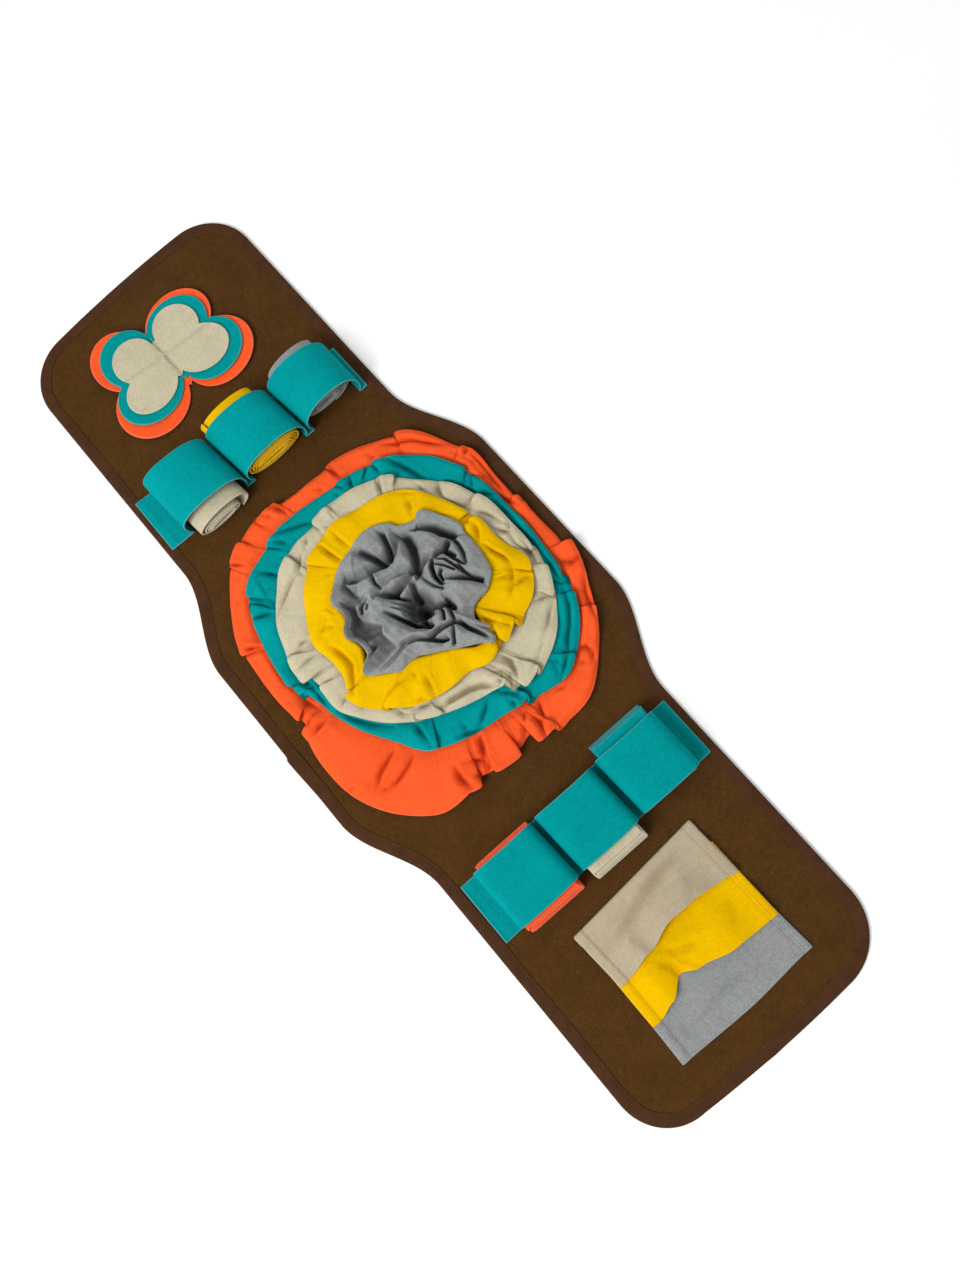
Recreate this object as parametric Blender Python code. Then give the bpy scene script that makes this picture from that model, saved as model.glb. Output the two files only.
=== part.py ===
"""Snuffle mat: a long fleece mat with a pleated rosette, rolled and folded treats under two
looped straps, a layered butterfly and a stack of pocket flaps.

Metres, +Z up. The mat lies on its underside at z = 0, its middle at the origin. +Y runs to
the butterfly end and -Y to the pocket end.
"""
import math

import bmesh
import bpy

MM = 0.001
GAP = 0.3               # clearance between touching pieces, mm
FLEECE = 2.0            # thickness of every fleece piece but the base, mm
SHARP_ANGLE = 40.0      # edges that turn more than this stay crisp, degrees

# ---- base mat and its binding, mm
MAT_LENGTH = 1000.0
END_HALF_WIDTH = 138.5
BELLY_HALF_WIDTH = 174.5
BELLY_STRAIGHT = 96.0   # |y| up to which the wide middle runs straight
BELLY_END = 201.0       # |y| where the narrow end begins
END_BOW = 2.5           # how far the middle of each end edge stands out
BASE_THICK = 3.0
SIDE_STEPS = 8          # stations along each curved stretch of a side
CORNER_STEPS = 7        # and round each corner
END_STEPS = 4           # and across each end
RIM_THICK = 1.8         # the rim is pressed thin inside the binding
RIM_WIDTH = 13.5
RIM_SLOPE = 3.0
TAPE_THICK = 0.6
TAPE_WIDTH = 12.0
TAPE_LAP_Y = -12.0      # where the tape's end laps over its start, on the left side
TAPE_LAP_LENGTH = 16.0
TAPE_LAP_THICK = 0.7
TAPE_LAP_EDGE = 0.6     # length over which the lap steps up

# corner: (side of x, side of y, radius)
CORNERS = (
    (1, 1, 57.0),
    (-1, 1, 57.0),
    (-1, -1, 50.0),
    (1, -1, 57.0),
)

# ---- rosette, mm. Ring j is the free edge of tier j, counted from the outside;
# rings 6 and 7 are the crown of the bunched middle and the lip of its heart.
RING_CENTRE = {1: (10.0, 10.0), 2: (10.0, 10.0), 3: (10.0, 10.0), 4: (10.0, 10.0),
               5: (20.0, 12.0), 6: (20.0, 8.0), 7: (18.0, -1.0)}
RING_HEIGHT = {1: 5.6, 2: 12.5, 3: 19.5, 4: 27.5, 5: 37.0, 6: 53.0, 7: 45.0}
LAYER_PITCH = 3.4       # height from one nested tier to the next

# free edges: (angle in degrees, radius, lift of the edge); a sharp change of lift is a pleat
ORANGE_EDGE = (
    (0, 150, 2), (5, 153, 5), (8, 148, 0), (14, 152, 2), (20, 157, 0), (31, 173, 5), (34, 170, 0),
    (44, 179, 3), (53, 187, 6), (56, 179, 0), (68, 179, 3), (78, 176, 5), (80, 174, 0),
    (90, 172, 3), (100, 178, 0), (102, 186, 6), (112, 192, 1), (122, 196, 5), (124, 194, 0),
    (137, 184, 3), (150, 176, 6), (152, 172, 0), (165, 160, 3), (178, 153, 5), (184, 147, 0),
    (190, 159, 4), (200, 172, 1), (212, 184, 4), (224, 191, 1), (236, 193, 2), (247, 180, 6),
    (253, 168, 0), (262, 173, 6), (268, 164, 2), (272, 160, 0), (276, 175, 7), (284, 181, 2),
    (293, 187, 5), (305, 181, 1), (318, 175, 6), (320, 173, 0), (329, 169, 3), (337, 169, 6),
    (347, 155, 0),
)
TEAL_EDGE = (
    (5, 137, 1), (14, 140, 3), (22, 144, 5), (25, 146, 0), (35, 151, 4), (45, 157, 1),
    (62, 157, 6), (64, 155, 0), (74, 152, 4), (84, 151, 0), (100, 157, 3), (112, 163, 6),
    (114, 161, 0), (122, 166, 3), (130, 168, 6), (132, 166, 0), (141, 158, 4), (150, 151, 1),
    (165, 140, 6), (172, 137, 0), (180, 124, 4), (190, 123, 1), (200, 122, 4), (212, 122, 1),
    (222, 124, 3), (238, 134, 6), (241, 132, 0), (248, 132, 3), (256, 131, 1), (268, 132, 6),
    (278, 138, 8), (285, 145, 0), (298, 162, 5), (306, 161, 1), (314, 160, 4), (322, 157, 6),
    (325, 153, 0), (335, 146, 4), (345, 140, 1), (354, 138, 4),
)
CREAM_EDGE = (
    (0, 127, 1), (8, 128, 3), (16, 130, 6), (19, 127, 0), (31, 130, 4), (39, 129, 1),
    (46, 128, 3), (54, 132, 1), (62, 137, 6), (64, 136, 0), (75, 136, 4), (84, 136, 1),
    (94, 136, 5), (97, 127, 0), (104, 133, 3), (112, 136, 1), (120, 137, 5), (132, 134, 1),
    (144, 132, 4), (156, 128, 1), (166, 128, 6), (176, 111, 0), (184, 114, 4), (192, 117, 1),
    (202, 112, 4), (213, 109, 1), (222, 107, 4), (230, 105, 1), (240, 104, 5), (250, 103, 1),
    (260, 105, 4), (268, 107, 1), (279, 114, 6), (284, 126, 0), (288, 134, 6), (298, 138, 1),
    (309, 140, 4), (320, 138, 0), (330, 137, 4), (340, 133, 0), (350, 129, 4),
)
YELLOW_EDGE = (
    (0, 106, 2), (10, 109, 5), (14, 106, 0), (24, 108, 4), (35, 111, 1), (44, 114, 4),
    (52, 118, 1), (65, 115, 4), (78, 112, 1), (86, 114, 4), (95, 116, 2), (98, 112, 0),
    (105, 112, 3), (112, 112, 5), (114, 110, 0), (126, 105, 4), (140, 101, 1), (150, 99, 4),
    (158, 98, 5), (172, 88, 0), (184, 87, 4), (191, 95, 1), (198, 103, 5), (212, 98, 0),
    (221, 94, 4), (230, 92, 1), (240, 89, 4), (250, 86, 1), (261, 84, 4), (272, 82, 1),
    (288, 94, 6), (297, 93, 0), (306, 100, 5), (316, 109, 1), (325, 118, 4), (333, 121, 1),
    (340, 122, 5), (352, 110, 0),
)
GREY_EDGE = (
    (6, 78, 2), (20, 83, 4), (34, 87, 2), (44, 86, 4), (54, 72, 0), (66, 75, 3), (76, 83, 3),
    (88, 82, 4), (97, 80, 0), (113, 80, 4), (124, 81, 1), (140, 79, 5), (152, 68, 0),
    (166, 74, 5), (181, 67, 0), (194, 82, 5), (212, 72, 1), (230, 56, 0), (248, 55, 2),
    (270, 62, 1), (286, 80, 5), (296, 74, 0), (308, 57, 0), (322, 67, 3), (338, 76, 4),
    (352, 77, 1),
)
EDGES = {1: ORANGE_EDGE, 2: TEAL_EDGE, 3: CREAM_EDGE, 4: YELLOW_EDGE, 5: GREY_EDGE}
TIER_NAMES = {1: "orange", 2: "teal", 3: "cream", 4: "yellow"}
RUFFLE = 2.2            # how strongly the free edges wave
# where each nested tier drops to its seam on the mat, as a ring number
DROP_RING = {1: 3.0, 2: 4.0, 3: 4.6, 4: 5.0}
DROP_INWARD = 9.0       # how far inside that ring the seam lies
DROP_BEND = 0.45        # share of the way in, and of the height left, at the bend above the seam
COLUMN_STEP = 10.0      # spacing of plain columns round a tier, degrees
CLOSEST_COLUMN = 2.5    # plain columns nearer than this to the one before are left out, degrees
# rows of a tier from its free edge, as parts of the way to the next ring
TIER_ROWS = (0.0, 0.45, 0.8, 1.0)
# folds of the bunched middle: (depth, half width, points along the valley)
HEART_FOLDS = (
    (13, 8, ((10, 84), (18, 68), (23, 55))),
    (13, 7, ((39, 90), (35, 75), (29, 56))),
    (9, 7, ((-13, 67), (14, 57), (27, 53), (49, 70))),
    (16, 8, ((51, 66), (49, 50), (43, 38), (40, 30))),
    (13, 8, ((53, 70), (66, 62), (77, 48), (88, 33))),
    (9, 6, ((-23, 38), (0, 41), (20, 38), (38, 34))),
    (17, 8, ((1, 38), (3, 28), (10, 21), (20, 14))),
    (11, 7, ((40, 30), (60, 29), (76, 31))),
    (14, 7, ((-6, 18), (0, 6), (3, -4), (9, -12), (18, -25))),
    (18, 8, ((26, -5), (38, -9), (43, -22))),
    (11, 7, ((-40, -20), (-15, -17), (0, -22), (18, -38))),
    (14, 7, ((8, -27), (34, -30), (40, -45), (50, -66))),
    (11, 7, ((-56, -3), (-35, 2), (-22, 5), (-28, 24), (-30, 34))),
    (10, 7, ((-42, 60), (-30, 56), (-20, 48))),
    (13, 7, ((73, 28), (71, 8), (72, -8), (82, -22))),
    (12, 7, ((57, 24), (50, 18), (48, 4))),
)
HEART_CROWN = 0.56      # radius of ring 6 as a share of the grey edge
HEART_LIP = 8.0         # radius of ring 7, the mouth of the heart, mm
# the walls of the heart below its lip: (radius, share of the lip's height)
HEART_WALL = ((7.6, 0.8), (7.0, 0.4), (6.0, 0.0))
FOLD_FLARE = 1.3        # how sharply a valley's sides steepen towards its bottom
HEART_COLUMNS = 54
# rows of the bunched middle, as ring numbers
HEART_ROWS = (5.0, 5.08, 5.2, 5.35, 5.5, 5.65, 5.8, 5.95, 6.1, 6.25, 6.45, 6.7, 7.0)
HEART_RIM = 0.2         # share of ring 5 to 6 over which the folds fade out to the edge
HEART_CALM = 0.45       # share of ring 6 to 7 over which they fade out to the heart
STEEPEST = 2.0          # most that a steep wall is thickened, in cloth thicknesses

# ---- butterfly, mm. Each layer is four wing lobes and a slim body, all ellipses:
# (centre x, centre y, half width, half height, tilt in degrees), from the bottom layer up
BUTTERFLY_CENTRE = (-8.0, 399.0)
BUTTERFLY_LAYERS = {
    "orange": ((-47.0, 426.0, 32.0, 36.0, 10.0), (26.0, 418.0, 38.0, 33.0, 0.0),
               (-52.0, 366.0, 38.0, 38.0, 0.0), (42.0, 360.0, 35.0, 36.0, 0.0),
               (-8.0, 394.5, 6.0, 43.5, 0.0)),
    "teal": ((-39.0, 421.0, 31.0, 33.0, 0.0), (22.0, 414.0, 35.0, 31.0, 0.0),
             (-45.0, 374.0, 37.0, 32.0, 0.0), (35.0, 368.0, 34.0, 32.0, 0.0),
             (-8.0, 398.5, 6.0, 38.5, 0.0)),
    "cream": ((-35.0, 413.0, 24.5, 25.0, 0.0), (19.5, 411.0, 25.5, 26.0, 0.0),
              (-41.5, 376.0, 29.0, 24.0, 8.0), (28.0, 374.5, 29.0, 25.0, -18.0),
              (-8.5, 393.5, 5.0, 26.5, 0.0)),
}
BUTTERFLY_POINTS = 64   # corners round each layer
WING_RISE = 0.031       # how far a wing lifts, for each mm from the body seam

# ---- straps, mm. left and right: ends of the tabs; near and far: edges at each of those ends;
# power: how square a loop is; start: how far in it turns to its seam; lean: how askew it runs
UPPER_STRAP = {"left": -131.0, "right": 126.0, "near": (228.0, 222.0), "far": (293.0, 277.0),
               "power": 2.3, "start": 0.5, "lean": -0.10}
LOWER_STRAP = {"left": -124.0, "right": 130.0, "near": (-279.0, -272.0), "far": (-215.0, -210.0),
               "power": 6.0, "start": 0.0, "lean": -0.04}
# loop: (middle x, half width, height over the mat)
UPPER_LOOPS = ((-70.0, 38.5, 41.0), (9.0, 38.0, 40.0), (85.0, 35.5, 42.0))
LOWER_LOOPS = ((-69.5, 35.5, 30.0), (5.5, 34.5, 28.5), (80.5, 34.5, 31.0))
LOOP_STEPS = 14
TAB_RISE = 0.6          # lift of a tab where it lies on the binding
TAB_CLEAR = 1.5         # how far inside the binding a tab has risen
TAB_RAMP = 3.0          # length over which it rises
TAB_SHARE = 0.18        # share of a strap at each end over which its lean grows
MITRE_LIMIT = 0.3       # a ribbon's corner reaches at most 1 / this of its half thickness

# ---- what the loops hold, mm
# roll: (colour, middle x, half width, height, near y, far y, turns, angle of the loose end, lean)
ROLLS = (
    ("cream", -71.0, 33.0, 35.0, 214.0, 284.0, 2.5, -50.0, -0.10),
    ("yellow", 8.0, 33.0, 35.0, 226.5, 293.0, 2.5, 150.0, -0.13),
    ("grey", 84.5, 30.0, 36.0, 233.0, 287.0, 2.5, -75.0, -0.06),
)
ROLL_STEPS = 16         # corners in one turn
ROLL_PLY = 3.2          # the doubled fleece of one turn in a roll
ROLL_SLIT = 0.9         # gap between turns
# folded cloth: (colour, middle x, half width, layers, near y, far y, lean)
FOLDS = (
    ("orange", -69.0, 31.5, 7, -288.0, -209.0, -0.03),
    ("cream", 6.0, 30.0, 7, -291.0, -212.0, -0.04),
    ("teal", 80.5, 30.5, 7, -275.0, -197.0, -0.02),
)
FOLD_PITCH = 3.3        # height from layer to layer, their gap included
FOLD_STEP = 0.9         # each layer stops this much short of the one below

# ---- pocket flaps, mm. top and edge: left x and right x at the seam and at the free edge;
# top_y: y of the seam at its left and right
POCKETS = {
    "grey": {"top": (-71.0, 76.0), "edge": (-73.0, 80.0), "top_y": (-392.0, -391.0)},
    "yellow": {"top": (-71.5, 76.0), "edge": (-71.5, 77.0), "top_y": (-338.0, -332.0)},
    "cream": {"top": (-74.0, 73.5), "edge": (-70.5, 76.0), "top_y": (-315.0, -305.0)},
}
# free edge across each flap: (share of the width, y, rise over its seat)
POCKET_EDGES = {
    "grey": ((0.0, -456.0, 0.0), (0.5, -457.5, 0.0), (1.0, -453.5, 0.0)),
    "yellow": ((0.0, -416.0, 0.0), (0.06, -416.0, 0.3), (0.19, -410.0, 7.0), (0.33, -398.0, 0.8),
               (0.45, -404.0, 6.0), (0.68, -411.0, 9.0), (0.9, -413.5, 1.5), (1.0, -414.0, 0.0)),
    "cream": ((0.0, -373.0, 0.0), (0.08, -372.0, 0.5), (0.28, -366.0, 7.0), (0.5, -357.0, 11.0),
              (0.7, -357.5, 10.0), (0.9, -362.0, 2.0), (1.0, -365.0, 0.0)),
}
# where each flap climbs onto the one under it, as shares of the way down it
POCKET_STEPS = {"yellow": (0.45, 0.68), "cream": (0.08, 0.36)}
POCKET_COLUMNS = 14
POCKET_ROWS = 7
POCKET_SPRING = 1.4     # how late a flap rises to its free edge

MATERIALS = {
    "base": ((0.078, 0.038, 0.014), 0.95),
    "binding": ((0.085, 0.028, 0.012), 0.8),
    "orange": ((0.93, 0.11, 0.02), 0.9),
    "teal": ((0.0, 0.33, 0.33), 0.9),
    "aqua": ((0.01, 0.38, 0.42), 0.9),
    "cream": ((0.66, 0.60, 0.44), 0.9),
    "yellow": ((0.85, 0.56, 0.0), 0.9),
    "grey": ((0.30, 0.32, 0.33), 0.9),
}


# ------------------------------------------------------------------ helpers
def material(slot):
    """A fleece or tape material, made once for each colour."""
    found = bpy.data.materials.get(slot)
    if found:
        return found
    colour, rough = MATERIALS[slot]
    made = bpy.data.materials.new(slot)
    made.use_nodes = True
    shader = made.node_tree.nodes["Principled BSDF"]
    shader.inputs["Base Color"].default_value = (*colour, 1.0)
    shader.inputs["Roughness"].default_value = rough
    shader.inputs["Metallic"].default_value = 0.0
    return made


def add_object(name, slot, points, faces):
    """One closed piece from points in mm."""
    mesh = bpy.data.meshes.new(name)
    mesh.from_pydata([tuple(c * MM for c in p) for p in points], [], faces)
    shape = bmesh.new()
    shape.from_mesh(mesh)
    bmesh.ops.recalc_face_normals(shape, faces=shape.faces)
    shape.to_mesh(mesh)
    shape.free()
    mesh.shade_smooth()
    mesh.set_sharp_from_angle(angle=math.radians(SHARP_ANGLE))
    mesh.materials.append(material(slot))
    piece = bpy.data.objects.new(name, mesh)
    bpy.context.collection.objects.link(piece)
    return piece


def cloth_from_grids(name, slot, top, bottom, closed):
    """A cloth from two grids of points, rows across and columns along.

    closed says that the last column joins the first, as round a ring.
    """
    rows = len(top)
    columns = len(top[0])
    points = [p for row in top for p in row] + [p for row in bottom for p in row]
    under = rows * columns
    steps = columns if closed else columns - 1
    faces = []
    for i in range(rows - 1):
        for j in range(steps):
            k = (j + 1) % columns
            a, b, c, d = i * columns + j, i * columns + k, (i + 1) * columns + k, (i + 1) * columns + j
            # both faces are cut along the same diagonal, so a twisted patch keeps its thickness
            for one, two, three in ((a, b, c), (a, c, d)):
                faces.append((one, two, three))
                faces.append((under + three, under + two, under + one))
    for j in range(steps):
        k = (j + 1) % columns
        last = (rows - 1) * columns
        faces.append((under + j, under + k, k, j))
        faces.append((last + j, last + k, under + last + k, under + last + j))
    if not closed:
        for i in range(rows - 1):
            for j in (0, columns - 1):
                a, b = i * columns + j, (i + 1) * columns + j
                faces.append((a, b, under + b, under + a))
    return add_object(name, slot, points, faces)


def round_table(rows, angle):
    """Values of a table round a ring at an angle, with no overshoot between its rows."""
    count = len(rows)
    angle = angle % 360.0
    k = count - 1
    for i in range(count):
        if rows[i][0] <= angle:
            k = i
    if angle < rows[0][0]:
        k = count - 1

    def knot(i):
        turns = i // count
        return rows[i % count][0] + 360.0 * turns

    def slope(i, column):
        left = (rows[i % count][column] - rows[(i - 1) % count][column]) / (knot(i) - knot(i - 1))
        right = (rows[(i + 1) % count][column] - rows[i % count][column]) / (knot(i + 1) - knot(i))
        if left * right <= 0.0:
            return 0.0
        return 2.0 * left * right / (left + right)

    start = knot(k)
    span = knot(k + 1) - start
    t = ((angle - start) % 360.0) / span
    values = []
    for column in range(1, len(rows[0])):
        a = rows[k][column]
        b = rows[(k + 1) % count][column]
        blend = t * t * (3.0 - 2.0 * t)
        tangent_a = slope(k, column) * span * t * (1.0 - t) ** 2
        tangent_b = slope(k + 1, column) * span * t * t * (1.0 - t)
        values.append(a + (b - a) * blend + tangent_a - tangent_b)
    return values


def smooth(t):
    """0 to 1 with level ends."""
    t = min(1.0, max(0.0, t))
    return t * t * (3.0 - 2.0 * t)


def unit(x, y):
    size = math.hypot(x, y)
    return x / size, y / size


# ------------------------------------------------------------------ base mat and binding
def half_width(y):
    """Half the mat's width at y, from the narrow end to the wide belly."""
    t = smooth((BELLY_END - abs(y)) / (BELLY_END - BELLY_STRAIGHT))
    return END_HALF_WIDTH + (BELLY_HALF_WIDTH - END_HALF_WIDTH) * t


def side_heights(lap):
    """Stations of y up one side, close together where the side curves."""
    up = [0.0, BELLY_STRAIGHT / 2.0]
    for i in range(SIDE_STEPS + 1):
        up.append(BELLY_STRAIGHT + (BELLY_END - BELLY_STRAIGHT) * i / SIDE_STEPS)
    up.append(0.5 * (BELLY_END + 0.5 * MAT_LENGTH - CORNERS[0][2]))
    heights = [-y for y in reversed(up[1:])] + up
    if lap:
        low, high = TAPE_LAP_Y - TAPE_LAP_LENGTH / 2.0, TAPE_LAP_Y + TAPE_LAP_LENGTH / 2.0
        heights = sorted(heights + [low - TAPE_LAP_EDGE, low, high, high + TAPE_LAP_EDGE])
    return heights


def mat_outline():
    """Stations (x, y, outward x, outward y) round the mat's edge, anticlockwise from the right."""
    end_y = 0.5 * MAT_LENGTH - END_BOW
    corner = {(sx, sy): radius for sx, sy, radius in CORNERS}
    line = []

    def arc(sx, sy, start):
        radius = corner[(sx, sy)]
        cx, cy = sx * (END_HALF_WIDTH - radius), sy * (end_y - radius)
        for i in range(CORNER_STEPS + 1):
            a = math.radians(start + 90.0 * i / CORNER_STEPS)
            line.append((cx + radius * math.cos(a), cy + radius * math.sin(a)))

    def end_edge(sy):
        right = END_HALF_WIDTH - corner[(1, sy)]
        left = -(END_HALF_WIDTH - corner[(-1, sy)])
        for i in range(1, END_STEPS):
            t = i / END_STEPS
            x = right + (left - right) * (t if sy > 0 else 1.0 - t)
            line.append((x, sy * (end_y + END_BOW * 4.0 * t * (1.0 - t))))

    for y in side_heights(lap=False):
        line.append((half_width(y), y))
    arc(1, 1, 0.0)
    end_edge(1)
    arc(-1, 1, 90.0)
    for y in reversed(side_heights(lap=True)):
        line.append((-half_width(y), y))
    arc(-1, -1, 180.0)
    end_edge(-1)
    arc(1, -1, 270.0)
    stations = []
    for i, (x, y) in enumerate(line):
        before, after = line[i - 1], line[(i + 1) % len(line)]
        nx, ny = unit(after[1] - before[1], before[0] - after[0])
        stations.append((x, y, nx, ny))
    return stations


def inset(stations, depth, z):
    return [(x - nx * depth, y - ny * depth, z) for x, y, nx, ny in stations]


def make_base(stations):
    edge = TAPE_THICK + GAP
    rim_low = TAPE_THICK + GAP
    rings = [
        inset(stations, RIM_WIDTH + RIM_SLOPE, 0.0),
        inset(stations, RIM_WIDTH, rim_low),
        inset(stations, edge, rim_low),
        inset(stations, edge, rim_low + RIM_THICK),
        inset(stations, RIM_WIDTH, rim_low + RIM_THICK),
        inset(stations, RIM_WIDTH + RIM_SLOPE, BASE_THICK),
    ]
    count = len(stations)
    points = [p for ring in rings for p in ring]
    faces = []
    for r in range(len(rings) - 1):
        for i in range(count):
            k = (i + 1) % count
            faces.append((r * count + i, r * count + k, (r + 1) * count + k, (r + 1) * count + i))
    faces.append(tuple(reversed(range(count))))
    faces.append(tuple(range((len(rings) - 1) * count, len(rings) * count)))
    return add_object("base_panel", "base", points, faces)


def make_binding(stations):
    """A tape folded over the rim: a C section carried round the edge."""
    top = TAPE_THICK + GAP + RIM_THICK + GAP
    low, high = TAPE_LAP_Y - TAPE_LAP_LENGTH / 2.0, TAPE_LAP_Y + TAPE_LAP_LENGTH / 2.0
    points = []
    sides = 8
    for x, y, nx, ny in stations:
        lap = TAPE_LAP_THICK if x < 0.0 and low <= y <= high else 0.0
        section = (
            (TAPE_WIDTH, 0.0),
            (-lap, 0.0),
            (-lap, top + TAPE_THICK + lap),
            (TAPE_WIDTH, top + TAPE_THICK + lap),
            (TAPE_WIDTH, top),
            (TAPE_THICK, top),
            (TAPE_THICK, TAPE_THICK),
            (TAPE_WIDTH, TAPE_THICK),
        )
        points += [(x - nx * depth, y - ny * depth, z) for depth, z in section]
    faces = []
    count = len(stations)
    for i in range(count):
        k = (i + 1) % count
        for s in range(sides):
            t = (s + 1) % sides
            faces.append((i * sides + s, k * sides + s, k * sides + t, i * sides + t))
    return add_object("edge_binding", "binding", points, faces)


# ------------------------------------------------------------------ rosette

def ring_radius(ring, angle):
    if ring <= 5:
        return round_table(EDGES[ring], angle)[0]
    if ring == 7:
        return HEART_LIP
    return HEART_CROWN * round_table(GREY_EDGE, angle)[0]


def ring_point(ring, angle):
    cx, cy = RING_CENTRE[ring]
    radius = ring_radius(ring, angle)
    a = math.radians(angle)
    return cx + radius * math.cos(a), cy + radius * math.sin(a)


def between_rings(position, angle):
    """Place and mound height at a fractional ring number."""
    low = min(int(position), 6)
    t = position - low
    ax, ay = ring_point(low, angle)
    bx, by = ring_point(low + 1, angle)
    z = RING_HEIGHT[low] + (RING_HEIGHT[low + 1] - RING_HEIGHT[low]) * t
    return ax + (bx - ax) * t, ay + (by - ay) * t, z


def thicken(column, angle, thick):
    """Offset a column of points both ways, square to its run up the radius."""
    out_x, out_y = math.cos(math.radians(angle)), math.sin(math.radians(angle))
    top, bottom = [], []
    last = len(column) - 1
    for i, (x, y, z) in enumerate(column):
        x0, y0, z0 = column[max(0, i - 1)]
        x1, y1, z1 = column[min(last, i + 1)]
        run = (x1 - x0) * out_x + (y1 - y0) * out_y
        up_r, up_z = unit(z1 - z0, -run)
        half = 0.5 * thick
        top.append((x + out_x * up_r * half, y + out_y * up_r * half, z + up_z * half))
        bottom.append((x - out_x * up_r * half, y - out_y * up_r * half, z - up_z * half))
    return top, bottom


def make_tier(tier):
    """One pleated ring, nested under the ring above and dropping to its seam on the mat."""
    stated = {row[0] for row in EDGES[tier]}
    angles = sorted(stated | {COLUMN_STEP * i for i in range(int(360 / COLUMN_STEP))})
    angles = [a for i, a in enumerate(angles)
              if i == 0 or a - angles[i - 1] > CLOSEST_COLUMN or a in stated]
    seam_z = BASE_THICK + GAP + 0.5 * FLEECE
    drop = DROP_RING[tier]
    stops = [tier + part for part in TIER_ROWS]
    if drop > stops[-1]:
        stops += [0.5 * (stops[-1] + drop), drop]
    grid_top, grid_bottom = [], []
    for angle in angles:
        lift = round_table(EDGES[tier], angle)[1]
        column = []
        for stop in stops:
            x, y, z = between_rings(stop, angle)
            z -= LAYER_PITCH * (stop - tier)
            free = max(0.0, tier + 1.0 - stop)
            column.append((x, y, z + RUFFLE * lift * free ** 0.9))
        out_x, out_y = math.cos(math.radians(angle)), math.sin(math.radians(angle))
        x, y, z = column[-1]
        bend = DROP_BEND * DROP_INWARD
        column.append((x - bend * out_x, y - bend * out_y, seam_z + DROP_BEND * (z - seam_z)))
        column.append((x - DROP_INWARD * out_x, y - DROP_INWARD * out_y, seam_z))
        top, bottom = thicken(column, angle, FLEECE)
        grid_top.append(top)
        grid_bottom.append(bottom)
    rows_top = [list(row) for row in zip(*grid_top)]
    rows_bottom = [list(row) for row in zip(*grid_bottom)]
    colour = TIER_NAMES[tier]
    return cloth_from_grids("ruffle_" + colour, colour, rows_top, rows_bottom, closed=True)


def fold_depth(x, y):
    """Depth of the deepest valley at a place on the bunched middle."""
    deepest = 0.0
    for depth, half, points in HEART_FOLDS:
        for (ax, ay), (bx, by) in zip(points, points[1:]):
            run_x, run_y = bx - ax, by - ay
            t = ((x - ax) * run_x + (y - ay) * run_y) / (run_x * run_x + run_y * run_y)
            t = min(1.0, max(0.0, t))
            away = math.hypot(x - ax - t * run_x, y - ay - t * run_y) / half
            if away < 1.0:
                deepest = max(deepest, depth * (1.0 - away) ** FOLD_FLARE)
    return deepest


def steepness(grid, i, j):
    """How much longer than level the cloth runs at a grid point, 1 or more."""
    columns = len(grid[0])
    inner = grid[min(i + 1, len(grid) - 1)][j]
    outer = grid[max(i - 1, 0)][j]
    ahead, behind = grid[i][(j + 1) % columns], grid[i][j - 1]
    u = [inner[k] - outer[k] for k in range(3)]
    v = [ahead[k] - behind[k] for k in range(3)]
    nx, ny = u[1] * v[2] - u[2] * v[1], u[2] * v[0] - u[0] * v[2]
    nz = u[0] * v[1] - u[1] * v[0]
    return min(STEEPEST, math.sqrt(nx * nx + ny * ny + nz * nz) / abs(nz))


def make_grey():
    """The bunched middle: folds crowd round an open heart that drops to its seam."""
    angles = [360.0 * i / HEART_COLUMNS for i in range(HEART_COLUMNS)]
    top = []
    for stop in HEART_ROWS:
        row = []
        for angle in angles:
            x, y, z = between_rings(stop, angle)
            lift = round_table(GREY_EDGE, angle)[1]
            z += 0.5 * FLEECE + lift * max(0.0, 6.0 - stop) ** 1.5
            fade = smooth((stop - 5.0) / HEART_RIM) * smooth((7.0 - stop) / HEART_CALM)
            z -= fold_depth(x, y) * fade
            row.append((x, y, z))
        top.append(row)
    bottom = []
    for i, row in enumerate(top):
        bottom.append([(x, y, z - FLEECE * steepness(top, i, j)) for j, (x, y, z) in enumerate(row)])
    cx, cy = RING_CENTRE[7]
    floor = BASE_THICK + GAP
    for radius, share in HEART_WALL:
        inner, outer = [], []
        for angle, (_, _, lip_z) in zip(angles, top[len(HEART_ROWS) - 1]):
            out_x, out_y = math.cos(math.radians(angle)), math.sin(math.radians(angle))
            z = floor + share * (lip_z - floor)
            inner.append((cx + radius * out_x, cy + radius * out_y, z))
            outer.append((cx + (radius + FLEECE) * out_x, cy + (radius + FLEECE) * out_y, z))
        top.append(inner)
        bottom.append(outer)
    return cloth_from_grids("ruffle_grey", "grey", top, bottom, closed=True)


# ------------------------------------------------------------------ butterfly
def lobe_reach(lobe, angle):
    """How far a ray from the butterfly's middle runs inside one lobe, or 0."""
    cx, cy, half_w, half_h, tilt = lobe
    cx, cy = cx - BUTTERFLY_CENTRE[0], cy - BUTTERFLY_CENTRE[1]
    cos_t, sin_t = math.cos(math.radians(tilt)), math.sin(math.radians(tilt))
    cos_a, sin_a = math.cos(math.radians(angle)), math.sin(math.radians(angle))
    # the ray and the lobe's centre in the lobe's own axes, scaled to a unit circle
    dx, dy = (cos_a * cos_t + sin_a * sin_t) / half_w, (sin_a * cos_t - cos_a * sin_t) / half_h
    px, py = (cx * cos_t + cy * sin_t) / half_w, (cy * cos_t - cx * sin_t) / half_h
    size = dx * dx + dy * dy
    middle = (dx * px + dy * py) / size
    square = middle * middle - (px * px + py * py - 1.0) / size
    if square < 0.0:
        return 0.0
    return max(0.0, middle + math.sqrt(square))


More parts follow.
